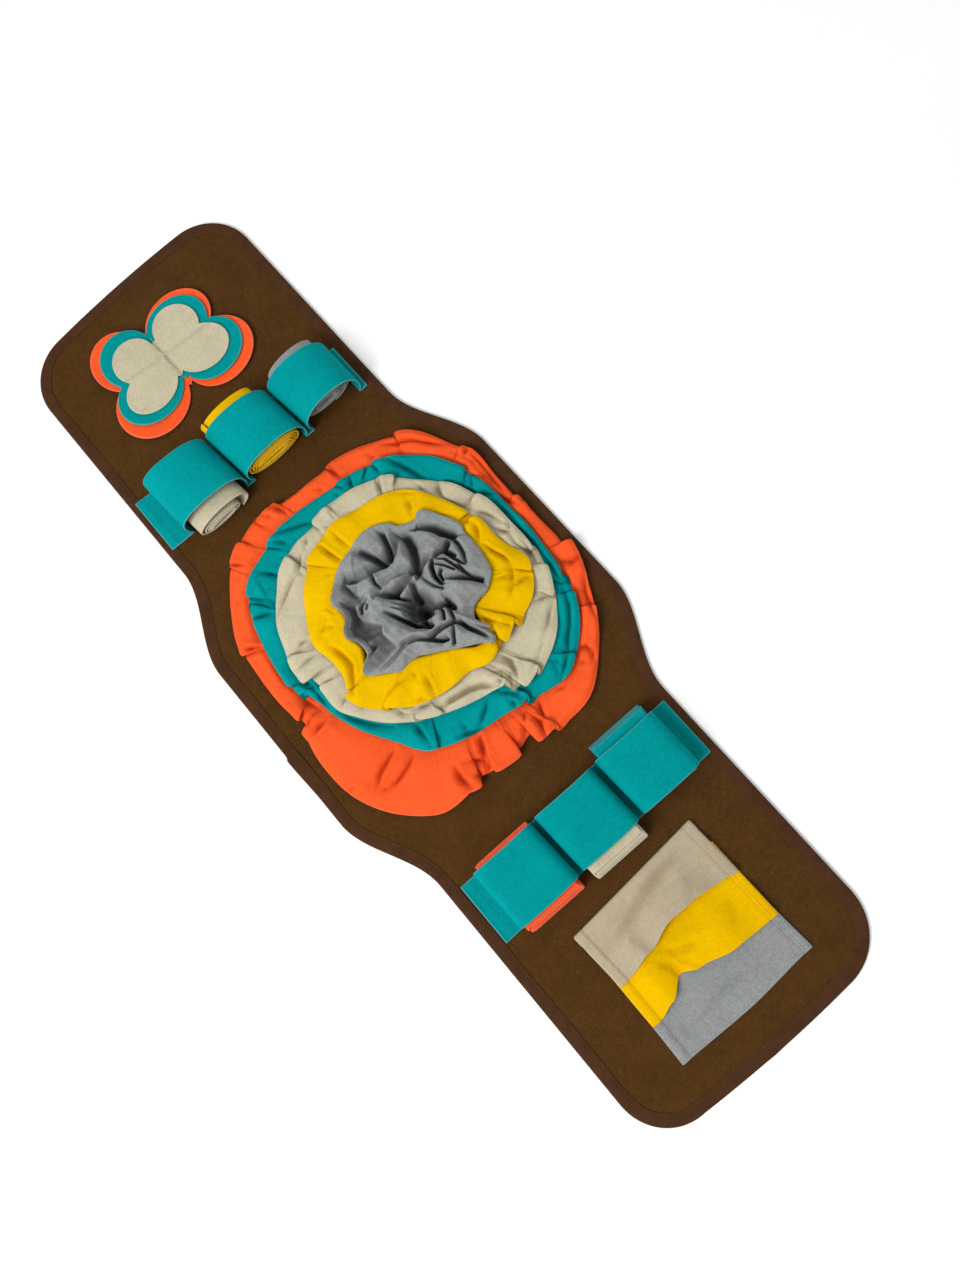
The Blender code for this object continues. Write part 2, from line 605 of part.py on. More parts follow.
def make_butterfly(layer, colour, lobes):
    """One cut-out layer, its two wings a little lifted from the body seam."""
    steps = BUTTERFLY_POINTS
    cx, cy = BUTTERFLY_CENTRE
    low = BASE_THICK + GAP + layer * (FLEECE + GAP)
    top, bottom = [], []
    for i in range(steps):
        angle = 360.0 * i / steps + 90.0
        reach = max(lobe_reach(lobe, angle) for lobe in lobes)
        x = reach * math.cos(math.radians(angle))
        y = reach * math.sin(math.radians(angle))
        z = low + WING_RISE * abs(x)
        top.append((cx + x, cy + y, z + FLEECE))
        bottom.append((cx + x, cy + y, z))
    points = top + bottom + [(cx, cy, low + FLEECE), (cx, cy, low)]
    faces = []
    for i in range(steps):
        k = (i + 1) % steps
        faces.append((i, k, 2 * steps))
        faces.append((steps + k, steps + i, 2 * steps + 1))
        faces.append((k, i, steps + i, steps + k))
    return add_object("butterfly_" + colour, colour, points, faces)


# ------------------------------------------------------------------ straps, rolls and folds
def ribbon_sides(line, thick):
    """Both faces of a ribbon whose middle follows points (x, z), with mitred corners."""
    upper, lower = [], []
    half = 0.5 * thick
    last = len(line) - 1
    for i, (x, z) in enumerate(line):
        before, after = line[max(0, i - 1)], line[min(last, i + 1)]
        in_x, in_z = unit(x - before[0], z - before[1]) if i > 0 else unit(after[0] - x, after[1] - z)
        out_x, out_z = unit(after[0] - x, after[1] - z) if i < last else (in_x, in_z)
        nx, nz = -(in_z + out_z), in_x + out_x
        nx, nz = unit(nx, nz)
        reach = half / max(MITRE_LIMIT, nx * -in_z + nz * in_x)
        upper.append((x + nx * reach, z + nz * reach))
        lower.append((x - nx * reach, z - nz * reach))
    return upper, lower


def extrude_ribbon(name, slot, line, spans):
    """A ribbon given its width: a span (near y, far y, x slide at each) for every point."""
    upper, lower = ribbon_sides(line, FLEECE)
    count = len(line)
    near, far = [], []
    for (x, z), (y0, y1, slide0, slide1) in zip(upper + lower, spans + spans):
        near.append((x + slide0, y0, z))
        far.append((x + slide1, y1, z))
    points = near + far
    under, back = count, 2 * count
    faces = []
    for i in range(count - 1):
        k = i + 1
        faces.append((i, k, under + k, under + i))
        faces.append((back + i, back + under + i, back + under + k, back + k))
        faces.append((i, back + i, back + k, k))
        faces.append((under + i, under + k, back + under + k, back + under + i))
    for i in (0, count - 1):
        faces.append((i, under + i, back + under + i, back + i))
    return add_object(name, slot, points, faces)


def loop_line(middle, half, height, power, start):
    """The middle of a strap over one loop, from seam to seam: points (x, z)."""
    seat = BASE_THICK + GAP + 0.5 * FLEECE
    top = BASE_THICK + height - 0.5 * FLEECE
    rise = (top - seat) / (1.0 + start)
    centre = seat + rise * start
    first = math.asin(start ** (0.5 * power))
    points = []
    for i in range(LOOP_STEPS + 1):
        t = math.pi + first - (math.pi + 2.0 * first) * i / LOOP_STEPS
        cos_t, sin_t = math.cos(t), math.sin(t)
        x = math.copysign(abs(cos_t) ** (2.0 / power), cos_t)
        z = math.copysign(abs(sin_t) ** (2.0 / power), sin_t)
        points.append((middle + (half - 0.5 * FLEECE) * x, centre + rise * z))
    return points


def tab_line(end):
    """A strap's tab from its loop's seam to its end, lifted where it lies on the binding."""
    seat = BASE_THICK + GAP + 0.5 * FLEECE
    side = math.copysign(1.0, end)
    lip = side * (END_HALF_WIDTH - TAPE_WIDTH - TAB_CLEAR)
    if abs(end) <= abs(lip):
        return [(end, seat)]
    return [(lip - side * TAB_RAMP, seat), (lip, seat + TAB_RISE), (end, seat + TAB_RISE)]


def make_strap(name, slot, strap, loops):
    line = tab_line(strap["left"])[::-1]
    for middle, half, height in loops:
        line += loop_line(middle, half, height, strap["power"], strap["start"])
    line += tab_line(strap["right"])
    width = strap["right"] - strap["left"]
    middle_y = 0.5 * (strap["near"][0] + strap["far"][0])
    spans = []
    for x, _ in line:
        share = (x - strap["left"]) / width
        near = strap["near"][0] + (strap["near"][1] - strap["near"][0]) * share
        far = strap["far"][0] + (strap["far"][1] - strap["far"][0]) * share
        # the tabs run square to the mat and the loops between them lean
        lean = strap["lean"] * min(1.0, share / TAB_SHARE, (1.0 - share) / TAB_SHARE)
        spans.append((near, far, lean * (near - middle_y), lean * (far - middle_y)))
    return extrude_ribbon(name, slot, line, spans)


def make_roll(colour, middle, half, height, near, far, turns, loose, lean):
    """A rolled cloth: its outer turns wind in round a close core."""
    pitch = ROLL_PLY + ROLL_SLIT
    outer_steps = int(ROLL_STEPS * turns)
    inner_steps = int(ROLL_STEPS * (turns - 1.0))

    def at(step, inward):
        a = math.radians(loose) + 2.0 * math.pi * step / ROLL_STEPS
        shrink = pitch * step / ROLL_STEPS + inward
        return (half - shrink) * math.cos(a), (0.5 * height - shrink) * math.sin(a)

    outer = [at(i, 0.0) for i in range(outer_steps + 1)]
    inner = [at(i, ROLL_PLY) for i in range(inner_steps + 1)]
    ring = outer + inner
    floor = BASE_THICK + GAP - min(z for _, z in ring)
    middle_y = 0.5 * (near + far)
    points = []
    for y in (near, far):
        points += [(middle + x + lean * (y - middle_y), y, floor + z) for x, z in ring]
    back = len(ring)
    inner_start = len(outer)
    faces = []
    for i in range(outer_steps):
        faces.append((i, i + 1, back + i + 1, back + i))
    for i in range(inner_steps):
        a, b = inner_start + i, inner_start + i + 1
        faces.append((b, a, back + a, back + b))
        for side in (0, back):
            faces.append((side + i, side + i + 1, side + b, side + a))
    faces.append((0, inner_start, back + inner_start, back))
    end = inner_start + inner_steps
    faces.append((outer_steps, end, back + end, back + outer_steps))
    core = list(range(inner_steps, outer_steps + 1)) + [end]
    faces.append(tuple(core))
    faces.append(tuple(back + i for i in reversed(core)))
    return add_object("roll_" + colour, colour, points, faces)


def make_fold(colour, middle, half, layers, near, far, lean):
    """A cloth folded back and forth: one section of all its layers."""
    low = BASE_THICK + GAP + 0.5 * FLEECE
    line, spans = [], []
    for layer in range(layers):
        z = low + FOLD_PITCH * layer
        side = 1.0 if layer % 2 == 0 else -1.0
        turn = half - 0.5 * FLEECE
        flat = turn - 0.5 * FOLD_PITCH
        line += [(middle - side * flat, z), (middle + side * flat, z)]
        slide = 0.5 * lean * (far - near)
        spans += [(near + FOLD_STEP * layer, far - FOLD_STEP * layer, -slide, slide)] * 2
        if layer < layers - 1:
            line.append((middle + side * turn, z + 0.5 * FOLD_PITCH))
            between = FOLD_STEP * (layer + 0.5)
            spans.append((near + between, far - between, -slide, slide))
    return extrude_ribbon("fold_" + colour, colour, line, spans)


# ------------------------------------------------------------------ pocket flaps
def edge_at(rows, share):
    """Free edge of a flap at a share of its width, eased between the rows."""
    for (s0, y0, r0), (s1, y1, r1) in zip(rows, rows[1:]):
        if share <= s1:
            t = smooth((share - s0) / (s1 - s0))
            return y0 + (y1 - y0) * t, r0 + (r1 - r0) * t
    return rows[-1][1], rows[-1][2]


def make_pocket(colour):
    """A flap sewn at its top and sides, its free edge arched for a nose to reach under."""
    spec = POCKETS[colour]
    top, bottom = [], []
    for i in range(POCKET_ROWS + 1):
        down = i / POCKET_ROWS
        row = []
        for j in range(POCKET_COLUMNS + 1):
            share = j / POCKET_COLUMNS
            edge_y, rise = edge_at(POCKET_EDGES[colour], share)
            left = spec["top"][0] + (spec["edge"][0] - spec["top"][0]) * down
            right = spec["top"][1] + (spec["edge"][1] - spec["top"][1]) * down
            x = left + (right - left) * share
            top_y = spec["top_y"][0] + (spec["top_y"][1] - spec["top_y"][0]) * share
            y = top_y + (edge_y - top_y) * down
            z = BASE_THICK + GAP + rise * down ** POCKET_SPRING
            if colour in POCKET_STEPS:
                first, last = POCKET_STEPS[colour]
                z += (FLEECE + GAP) * smooth((down - first) / (last - first))
            row.append((x, y, z))
        top.append([(x, y, z + FLEECE) for x, y, z in row])
        bottom.append(row)
    return cloth_from_grids("pocket_" + colour, colour, top, bottom, closed=False)


# ------------------------------------------------------------------ the mat
def build():
    for old in list(bpy.data.objects):
        bpy.data.objects.remove(old, do_unlink=True)
    stations = mat_outline()
    make_base(stations)
    make_binding(stations)
    for tier in TIER_NAMES:
        make_tier(tier)
    make_grey()
    for layer, (colour, lobes) in enumerate(BUTTERFLY_LAYERS.items()):
        make_butterfly(layer, colour, lobes)
    make_strap("strap_upper", "aqua", UPPER_STRAP, UPPER_LOOPS)
    for roll in ROLLS:
        make_roll(*roll)
    make_strap("strap_lower", "teal", LOWER_STRAP, LOWER_LOOPS)
    for fold in FOLDS:
        make_fold(*fold)
    for colour in POCKETS:
        make_pocket(colour)


build()
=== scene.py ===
# %% [markdown]
# # A snuffle mat, dressed over its solids
# A snuffle mat is a fleece toy for a dog. Treats are pushed into its folds, and the dog noses
# them out again. This one is a metre long. It has a pleated rosette in the middle, two looped
# straps that hold rolled and folded cloths, a layered butterfly at one end, and three sewn
# flaps with open lower edges at the other.
#
# The solids already stand where each cloth lies. This script lays a finer cloth over each of
# them, with its own folds, cut edges, stitches and pile. Lengths are in millimetres until a
# mesh is made, and +Y runs to the butterfly end.

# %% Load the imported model
import functools
import math
import random

import bmesh
import bpy
import numpy as np
from mathutils import Matrix, Vector


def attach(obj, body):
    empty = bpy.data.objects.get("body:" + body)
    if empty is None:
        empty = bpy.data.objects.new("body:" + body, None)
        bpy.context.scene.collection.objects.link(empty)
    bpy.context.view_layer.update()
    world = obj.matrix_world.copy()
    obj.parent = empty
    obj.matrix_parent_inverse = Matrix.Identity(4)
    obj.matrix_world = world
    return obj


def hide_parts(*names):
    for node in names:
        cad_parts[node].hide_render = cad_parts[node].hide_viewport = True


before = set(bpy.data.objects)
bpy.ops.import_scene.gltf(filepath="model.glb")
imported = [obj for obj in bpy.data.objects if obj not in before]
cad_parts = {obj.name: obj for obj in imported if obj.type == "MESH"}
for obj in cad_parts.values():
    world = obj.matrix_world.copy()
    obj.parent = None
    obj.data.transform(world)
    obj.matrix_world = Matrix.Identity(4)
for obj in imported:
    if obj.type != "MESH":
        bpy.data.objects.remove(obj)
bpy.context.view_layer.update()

MM = 0.001


def in_scene(name, data):
    """A new object for a camera, a lamp, a curve or a mesh."""
    thing = bpy.data.objects.new(name, data)
    bpy.context.scene.collection.objects.link(thing)
    return thing


# %% [markdown]
# ## Where the viewer stands
# The mat lies on a pale floor and the camera looks almost straight down on it, a little from
# the flap end, turned so that the mat runs corner to corner. A camera's axes are easiest to
# state as the three columns of its matrix: to the right, up, and backwards out of the picture.

# %% Camera
TILT = math.radians(11.66)          # how far the camera leans back toward the flap end
TURN_COS, TURN_SIN = 0.74788, 0.66383   # how far it is turned about its own line of sight
CAMERA_PLACE = (0.0406, -0.2454, 0.9402)    # m
FOCAL_LENGTH, SENSOR_WIDTH = 28.125, 36.0
RIGHT = Vector((TURN_COS, -TURN_SIN * math.cos(TILT), -TURN_SIN * math.sin(TILT)))
UP = Vector((TURN_SIN, TURN_COS * math.cos(TILT), TURN_COS * math.sin(TILT)))
BACK = Vector((0.0, -math.sin(TILT), math.cos(TILT)))

lens = bpy.data.cameras.new("viewer")
lens.lens, lens.sensor_width = FOCAL_LENGTH, SENSOR_WIDTH
lens.clip_start = 0.01
viewer = in_scene("viewer", lens)
pose = Matrix((RIGHT, UP, BACK)).transposed().to_4x4()
pose.translation = Vector(CAMERA_PLACE)
viewer.matrix_world = pose
bpy.context.scene.camera = viewer
print("camera stands", round(CAMERA_PLACE[2], 2), "m over the floor")

# %% [markdown]
# ## Light
# Cloth shows its folds when most of the light comes from one side and the rest from all round.
# A large soft panel stands to the left of the mat, a weak one to its right fills the shadows,
# and the sky lights everything evenly.

# %% Light
SKY_STRENGTH = 0.62


def soft_panel(name, place, size, watts, colour):
    """A square light that faces the middle of the mat."""
    light = bpy.data.lights.new(name, "AREA")
    light.shape = "SQUARE"
    light.size = size
    light.energy = watts
    light.color = colour
    lamp = in_scene(name, light)
    lamp.location = place
    lamp.rotation_euler = Vector(place).to_track_quat("Z", "Y").to_euler()


soft_panel("window", (-1.7, -0.35, 1.9), 1.3, 62.0, (1.0, 0.985, 0.96))
soft_panel("bounce", (1.6, 0.9, 1.6), 1.8, 7.0, (0.94, 0.97, 1.0))
sky = bpy.data.worlds.new("sky")
sky.use_nodes = True
background = sky.node_tree.nodes["Background"]
background.inputs["Color"].default_value = (1.0, 1.0, 1.0, 1.0)
background.inputs["Strength"].default_value = SKY_STRENGTH
bpy.context.scene.world = sky
bpy.context.scene.view_settings.view_transform = "Standard"
bpy.context.scene.view_settings.look = "None"

# %% [markdown]
# ## Materials as arithmetic
# A procedural material is a sum: a colour, plus a little noise, minus some wear. Blender adds
# such sums up in nodes, and Python can write the nodes for us. `Signal` wraps one output
# socket, and each operator on it adds one Math node. `add_node` adds any other node.

# %% A small language for shaders
class Signal:
    """One output socket that takes part in arithmetic."""

    def __init__(self, recipe, socket):
        self.recipe = recipe
        self.socket = socket

    def join(self, operation, *others):
        return self.recipe.make("ShaderNodeMath", {"operation": operation},
                                dict(enumerate((self,) + others)))

    def __add__(self, other):
        return self.join("ADD", other)

    def __sub__(self, other):
        return self.join("SUBTRACT", other)

    def __mul__(self, other):
        return self.join("MULTIPLY", other)

    def __truediv__(self, other):
        return self.join("DIVIDE", other)

    def __rsub__(self, other):
        return (self * -1.0).join("ADD", other)

    __radd__ = __add__
    __rmul__ = __mul__

    def over(self, edge, soft):
        """0 below an edge and 1 above it, with a soft step between."""
        return ((self - (edge - soft)) / (2.0 * soft)).join("MAXIMUM", 0.0).join("MINIMUM", 1.0)

    def wave(self):
        """A sine that starts again at each whole number."""
        return self.join("MULTIPLY", 2.0 * math.pi).join("SINE")


def feed(tree, socket, value):
    """Links a signal, a socket or a node's first output, and writes down any other value."""
    if isinstance(value, Signal):
        value = value.socket
    elif isinstance(value, bpy.types.Node):
        value = value.outputs[0]
    if isinstance(value, bpy.types.NodeSocket):
        tree.links.new(value, socket)
    else:
        socket.default_value = value


def add_node(tree, kind, settings=None, sockets=None):
    """A node of any kind: its settings first, then what goes into its sockets."""
    node = tree.nodes.new(kind)
    for name, value in (settings or {}).items():
        setattr(node, name, value)
    for key, value in (sockets or {}).items():
        feed(tree, node.inputs[key], value)
    return node


class Recipe:
    """A material and the nodes that go into it."""

    def __init__(self, name):
        self.material = bpy.data.materials.new(name)
        self.material.use_nodes = True
        self.tree = self.material.node_tree

    def make(self, kind, settings=None, sockets=None, out=0):
        return Signal(self, add_node(self.tree, kind, settings, sockets).outputs[out])

    def place(self):
        """Where a point lies on the object's own axes."""
        return self.make("ShaderNodeTexCoord", out="Object")

    def mark(self, name):
        """What each point of the mesh carries under a name."""
        return self.make("ShaderNodeAttribute", {"attribute_name": name}, out="Fac")

    def bump(self, strength, distance, height):
        return self.make("ShaderNodeBump", {}, {
            "Strength": strength, "Distance": distance, "Height": height}, "Normal")

    def noise(self, place, scale, detail=2.0, rough=0.5):
        return self.make("ShaderNodeTexNoise", {}, {
            "Vector": place, "Scale": scale, "Detail": detail, "Roughness": rough}, "Fac")

    def blend(self, share, one, two):
        """From one colour to the other by a share."""
        return self.make("ShaderNodeMix", {"data_type": "RGBA"}, {
            "Factor": share, 6: one, 7: two}, 2)

    def finish(self, sockets):
        for name, value in sockets.items():
            feed(self.tree, self.tree.nodes["Principled BSDF"].inputs[name], value)
        return self.material


print("shader language ready")

# %% [markdown]
# ## Fleece
# Fleece is a knit that is brushed until it grows a short matt pile. Close up it has three
# sizes of unevenness: single fibres, small curls about a millimetre across, and soft lumps of
# a few millimetres where the pile leans another way. All three go into the bump, and the
# larger two into the colour, with broad patches of wear; on the base these patches are
# stronger and are also painted shade of its slow swells. Where fleece is cut, the loose fibres
# of the edge catch the light, so every cloth below carries a `cut` attribute that is 1 along
# its cut edges, and there the colour is a painted highlight. A `shade` attribute says how much
# light is lost deep in its folds, and there the colour is painted shade.

# %% Fleece material
PATCHES, LUMPS, CURLS, FIBRES = 34.0, 210.0, 760.0, 2600.0     # sizes of unevenness, a metre
LINT_CELLS, LINT_PATCHES = 170.0, 61.0      # specks of lint and the places where they gather


def lighter(colour, share):
    return tuple(c + (1.0 - c) * share for c in colour) + (1.0,)


def richer(colour, share):
    """The same hue with more or, below zero, less light."""
    return tuple(min(1.0, c * (1.0 + share)) for c in colour) + (1.0,)


def fleece(name, colour, cut_light=0.30, lint=0.0, contrast=1.0, mottle=0.5, deep=None):
    """A matt brushed knit of one colour, painted darker in its folds: deep is the colour of that
    painted shade.
    """
    recipe = Recipe(name)
    place = recipe.place()
    patches = recipe.noise(place, PATCHES, 1.0)
    lumps = recipe.noise(place, LUMPS)
    curls = recipe.noise(place, CURLS, rough=0.6)
    fibres = recipe.noise(place, FIBRES, rough=0.7)
    grain = ((lumps - 0.5) * 0.45 + (curls - 0.5)) * contrast
    # the patches are wear; with a large mottle they are also painted shade of slow swells
    shade = 0.5 + grain + (patches - 0.5) * mottle
    paint = recipe.blend(shade.over(0.5, 0.5), richer(colour, -0.2), richer(colour, 0.2))
    # painted highlight: the colour is lighter along cut edges
    cut = recipe.mark("cut").over(0.65, 0.3)
    paint = recipe.blend(cut * 0.75, paint, lighter(colour, cut_light))
    # painted shade: the shade attribute turns the colour towards deep, or towards a darker copy of
    # the fleece's own colour, in the folds
    painted_shade = richer(deep, 0.0) if deep else richer(colour, -0.9)
    paint = recipe.blend(recipe.mark("shade"), paint, painted_shade)
    if lint:
        specks = recipe.make("ShaderNodeTexVoronoi", {"feature": "F1"}, {
            "Vector": place, "Scale": LINT_CELLS, "Randomness": 1.0}, "Distance")
        chosen = recipe.noise(place, LINT_PATCHES, 1.0).over(0.56, 0.04)
        flecks = (1.0 - specks.over(0.17, 0.05)) * chosen
        paint = recipe.blend(flecks * lint, paint, lighter(colour, 0.45))
    height = lumps * 0.35 + curls * 0.45 + fibres * 0.3
    bump = recipe.bump(0.7, 0.0013, height)
    return recipe.finish({
        "Base Color": paint, "Roughness": 0.88 + curls * 0.1, "Normal": bump,
        "Sheen Weight": 0.1, "Sheen Roughness": 0.4, "Sheen Tint": richer(colour, 0.3),
        "Specular IOR Level": 0.03})


# colours of the painted shade deep in a fleece's folds, given as deep
CREAM_PAINTED_SHADE = (0.13, 0.085, 0.034)
FLEECES = {
    # the base's strong mottle is partly wear and partly painted shade of its slow swells
    "base": fleece("fleece_brown", (0.0645, 0.0285, 0.0072), 0.04, lint=0.03, contrast=3.6,
                   mottle=1.1),
    "orange": fleece("fleece_orange", (0.83, 0.092, 0.021), 0.08, contrast=1.3,
                     deep=(0.30, 0.012, 0.001)),
    "teal": fleece("fleece_teal", (0.0, 0.245, 0.255), 0.10, contrast=1.5),
    "aqua": fleece("fleece_aqua", (0.0, 0.258, 0.272), 0.12, contrast=1.5),
    "cream": fleece("fleece_cream", (0.475, 0.430, 0.300), 0.12, contrast=1.3, deep=CREAM_PAINTED_SHADE),
    # a darker copy of the cream fleece, as painted shade on the cream flap
    "oat": fleece("fleece_cream_painted_shade", (0.400, 0.335, 0.232), 0.12, contrast=1.3, deep=CREAM_PAINTED_SHADE),
    "yellow": fleece("fleece_yellow", (0.69, 0.405, 0.0), 0.03, contrast=1.1,
                     deep=(0.36, 0.125, 0.0)),
    "grey": fleece("fleece_grey", (0.235, 0.248, 0.245), 0.10, contrast=2.4),
}
print("fleeces:", sorted(FLEECES))

# %% [markdown]
# ## Tape and thread
# The binding is a woven twill tape. Its fine diagonal ribs follow the tape round the corners,
# so the pattern can't use the object's own axes: it reads a UV map instead, whose U runs along
# the tape and whose V runs across it, both in metres.

# %% Twill and thread materials
TWILL_WOBBLE, TWILL_WEAR = 240.0, 95.0      # unevenness of the ribs and of the wear, a metre
TWIST = 2200.0                              # unevenness of a thread, a metre


def twill(name, colour, rib):
    """A woven tape with diagonal ribs of a given width."""
    recipe = Recipe(name)
    place = recipe.make("ShaderNodeUVMap", {"uv_map": "along"}, out="UV")
    parts = add_node(recipe.tree, "ShaderNodeSeparateXYZ", {}, {0: place})
    along, across = [Signal(recipe, out) for out in parts.outputs[:2]]
    wobble = recipe.noise(place, TWILL_WOBBLE)
    ribs = ((along + across) / rib + wobble * 0.5).wave()
    yarns = (along / rib * 3.0).wave()
    wear = recipe.noise(recipe.place(), TWILL_WEAR, 3.0)
    share = 0.5 + ribs * 0.42 + yarns * 0.1 + (wear - 0.5) * 1.1
    paint = recipe.blend(share.over(0.5, 0.5), richer(colour, -0.4), richer(colour, 0.4))
    # painted highlight: the tape is lighter along its cut edges
    paint = recipe.blend(recipe.mark("cut") * 0.6, paint, richer(colour, 0.7))
    bump = recipe.bump(0.6, 0.0004, ribs * 0.5 + yarns * 0.15 + wear)
    return recipe.finish({
        "Base Color": paint, "Roughness": 0.7 + wear * 0.2, "Normal": bump,
        "Sheen Weight": 0.03, "Sheen Tint": richer(colour, 0.5), "Specular IOR Level": 0.08})


def thread(name, colour):
    """A twisted sewing thread."""
    recipe = Recipe(name)
    twist = recipe.noise(recipe.place(), TWIST, 1.0)
    paint = recipe.blend(twist, richer(colour, -0.3), richer(colour, 0.25))
    bump = recipe.bump(0.5, 0.0002, twist)
    return recipe.finish({
        "Base Color": paint, "Roughness": 0.55 + twist * 0.15, "Normal": bump,
        "Specular IOR Level": 0.35})


BINDING_TWILL = twill("binding_twill", (0.058, 0.0235, 0.0085), 0.0021)
THREAD_COLOURS = {
    "brown": (0.05, 0.022, 0.009), "cream": (0.52, 0.46, 0.33), "teal": (0.0, 0.19, 0.20),
    "aqua": (0.01, 0.2, 0.22), "yellow": (0.55, 0.34, 0.01), "grey": (0.2, 0.21, 0.215),
}
THREADS = {word: thread("thread_" + word, colour) for word, colour in THREAD_COLOURS.items()}
print("threads:", sorted(THREADS))

# %% [markdown]
# ## The floor
# The mat lies on plain pale paper. One large square makes it, with a faint grain so that it
# isn't a flat grey.

# %% Floor
FLOOR_HALF = 6.0        # m
FLOOR_Z = -0.0004
FLOOR_GRAIN = 9.0
SQUARE = ((-1, -1), (1, -1), (1, 1), (-1, 1))

paper = Recipe("floor_paper")
grain = paper.noise(paper.place(), FLOOR_GRAIN)
paint = paper.blend(grain, (0.90, 0.90, 0.90, 1.0), (0.93, 0.93, 0.93, 1.0))
floor_mesh = bpy.data.meshes.new("floor")
corners = [(x * FLOOR_HALF, y * FLOOR_HALF, FLOOR_Z) for x, y in SQUARE]
floor_mesh.from_pydata(corners, [], [(0, 1, 2, 3)])
floor_mesh.materials.append(paper.finish({"Base Color": paint, "Roughness": 0.7 + grain * 0.1}))
floor = in_scene("floor", floor_mesh)
print("floor:", 2.0 * FLOOR_HALF, "m across")

# %% [markdown]
# ## One way to make every cloth
# Each cloth starts as a grid of points along the middle of its thickness. From that grid come
# two faces, one each side, and a rounded rim that joins them all round, so that the cut edge
# is a real edge with a real thickness. A line of points close to the rim keeps the flat face
# flat right up to it.

# %% From a grid of points to a closed cloth
FLEECE = 1.8        # thickness of a fleece as it lies
RIM_SUPPORT = 0.45  # distance of the line that holds the face flat beside a cut edge
RIM_BULGE = 0.34    # how far the rim stands out, as a share of the thickness
SUPPORT_LIGHT = 0.4  # how much of a cut edge's light colour reaches that line
MERGE = 0.002       # points closer than this are one, mm
TINY = 1e-9         # keeps a division by nothing away


def smooth(t):
    """0 to 1 with level ends."""
    t = np.clip(t, 0.0, 1.0)
    return t * t * (3.0 - 2.0 * t)


def mix(one, two, share):
    return one + (two - one) * share


def length_of(vectors):
    return np.sqrt((vectors * vectors).sum(axis=-1, keepdims=True))


def with_support(grid):
    """The grid with an extra line of points just inside its first and last rows."""
    def beside(edge, inner):
        step = inner - edge
        return edge + step * np.minimum(0.5, RIM_SUPPORT / np.maximum(length_of(step), TINY))

    return np.concatenate([grid[:1], beside(grid[:1], grid[1:2]), grid[1:-1],
                           beside(grid[-1:], grid[-2:-1]), grid[-1:]])


def across(grid):
    return np.swapaxes(grid, 0, 1)


def supported(grid):
    """The grid with an extra line of points just inside all four of its edges."""
    return across(with_support(across(with_support(grid))))


def square_to(grid, wrap):
    """Vectors square to the cloth at each point of its grid, longer where its cells are larger."""
    down = np.gradient(grid, axis=0)
    if wrap:
        along = (np.roll(grid, -1, axis=1) - np.roll(grid, 1, axis=1)) * 0.5
    else:
        along = np.gradient(grid, axis=1)
    return np.cross(along, down)


def unit(vectors):
    return vectors / np.maximum(length_of(vectors), TINY)


def there_and_back(rows):
    """Rows in the order of a cloth's closed section: rim, upper face, rim, lower face."""
    return np.concatenate([rows[:1], rows, rows[-1:], rows[::-1]])


def put_mesh(name, points, faces, material):
    """An object at the origin, with its place in its mesh, from points in mm."""
    mesh = bpy.data.meshes.new(name)
    mesh.from_pydata((np.asarray(points) * MM).tolist(), [], faces)
    mesh.materials.append(material)
    return in_scene(name, mesh)


def put_marks(piece, word, values):
    """Gives each point of a mesh a number under a name that the materials read."""
    store = piece.data.attributes.new(word, "FLOAT", "POINT")
    store.data.foreach_set("value", values.reshape(-1).astype(np.float32))


def clean(piece):
    """Merges doubled points, turns every face outwards and shades the cloth smooth."""
    shape = bmesh.new()
    shape.from_mesh(piece.data)
    bmesh.ops.remove_doubles(shape, verts=shape.verts, dist=MERGE * MM)
    bmesh.ops.dissolve_degenerate(shape, edges=shape.edges, dist=MERGE * MM * 0.1)
    loose = [point for point in shape.verts if not point.link_faces]
    bmesh.ops.delete(shape, geom=loose, context="VERTS")
    bmesh.ops.recalc_face_normals(shape, faces=shape.faces)
    shape.to_mesh(piece.data)
    shape.free()
    piece.data.shade_smooth()
    piece.data.update()


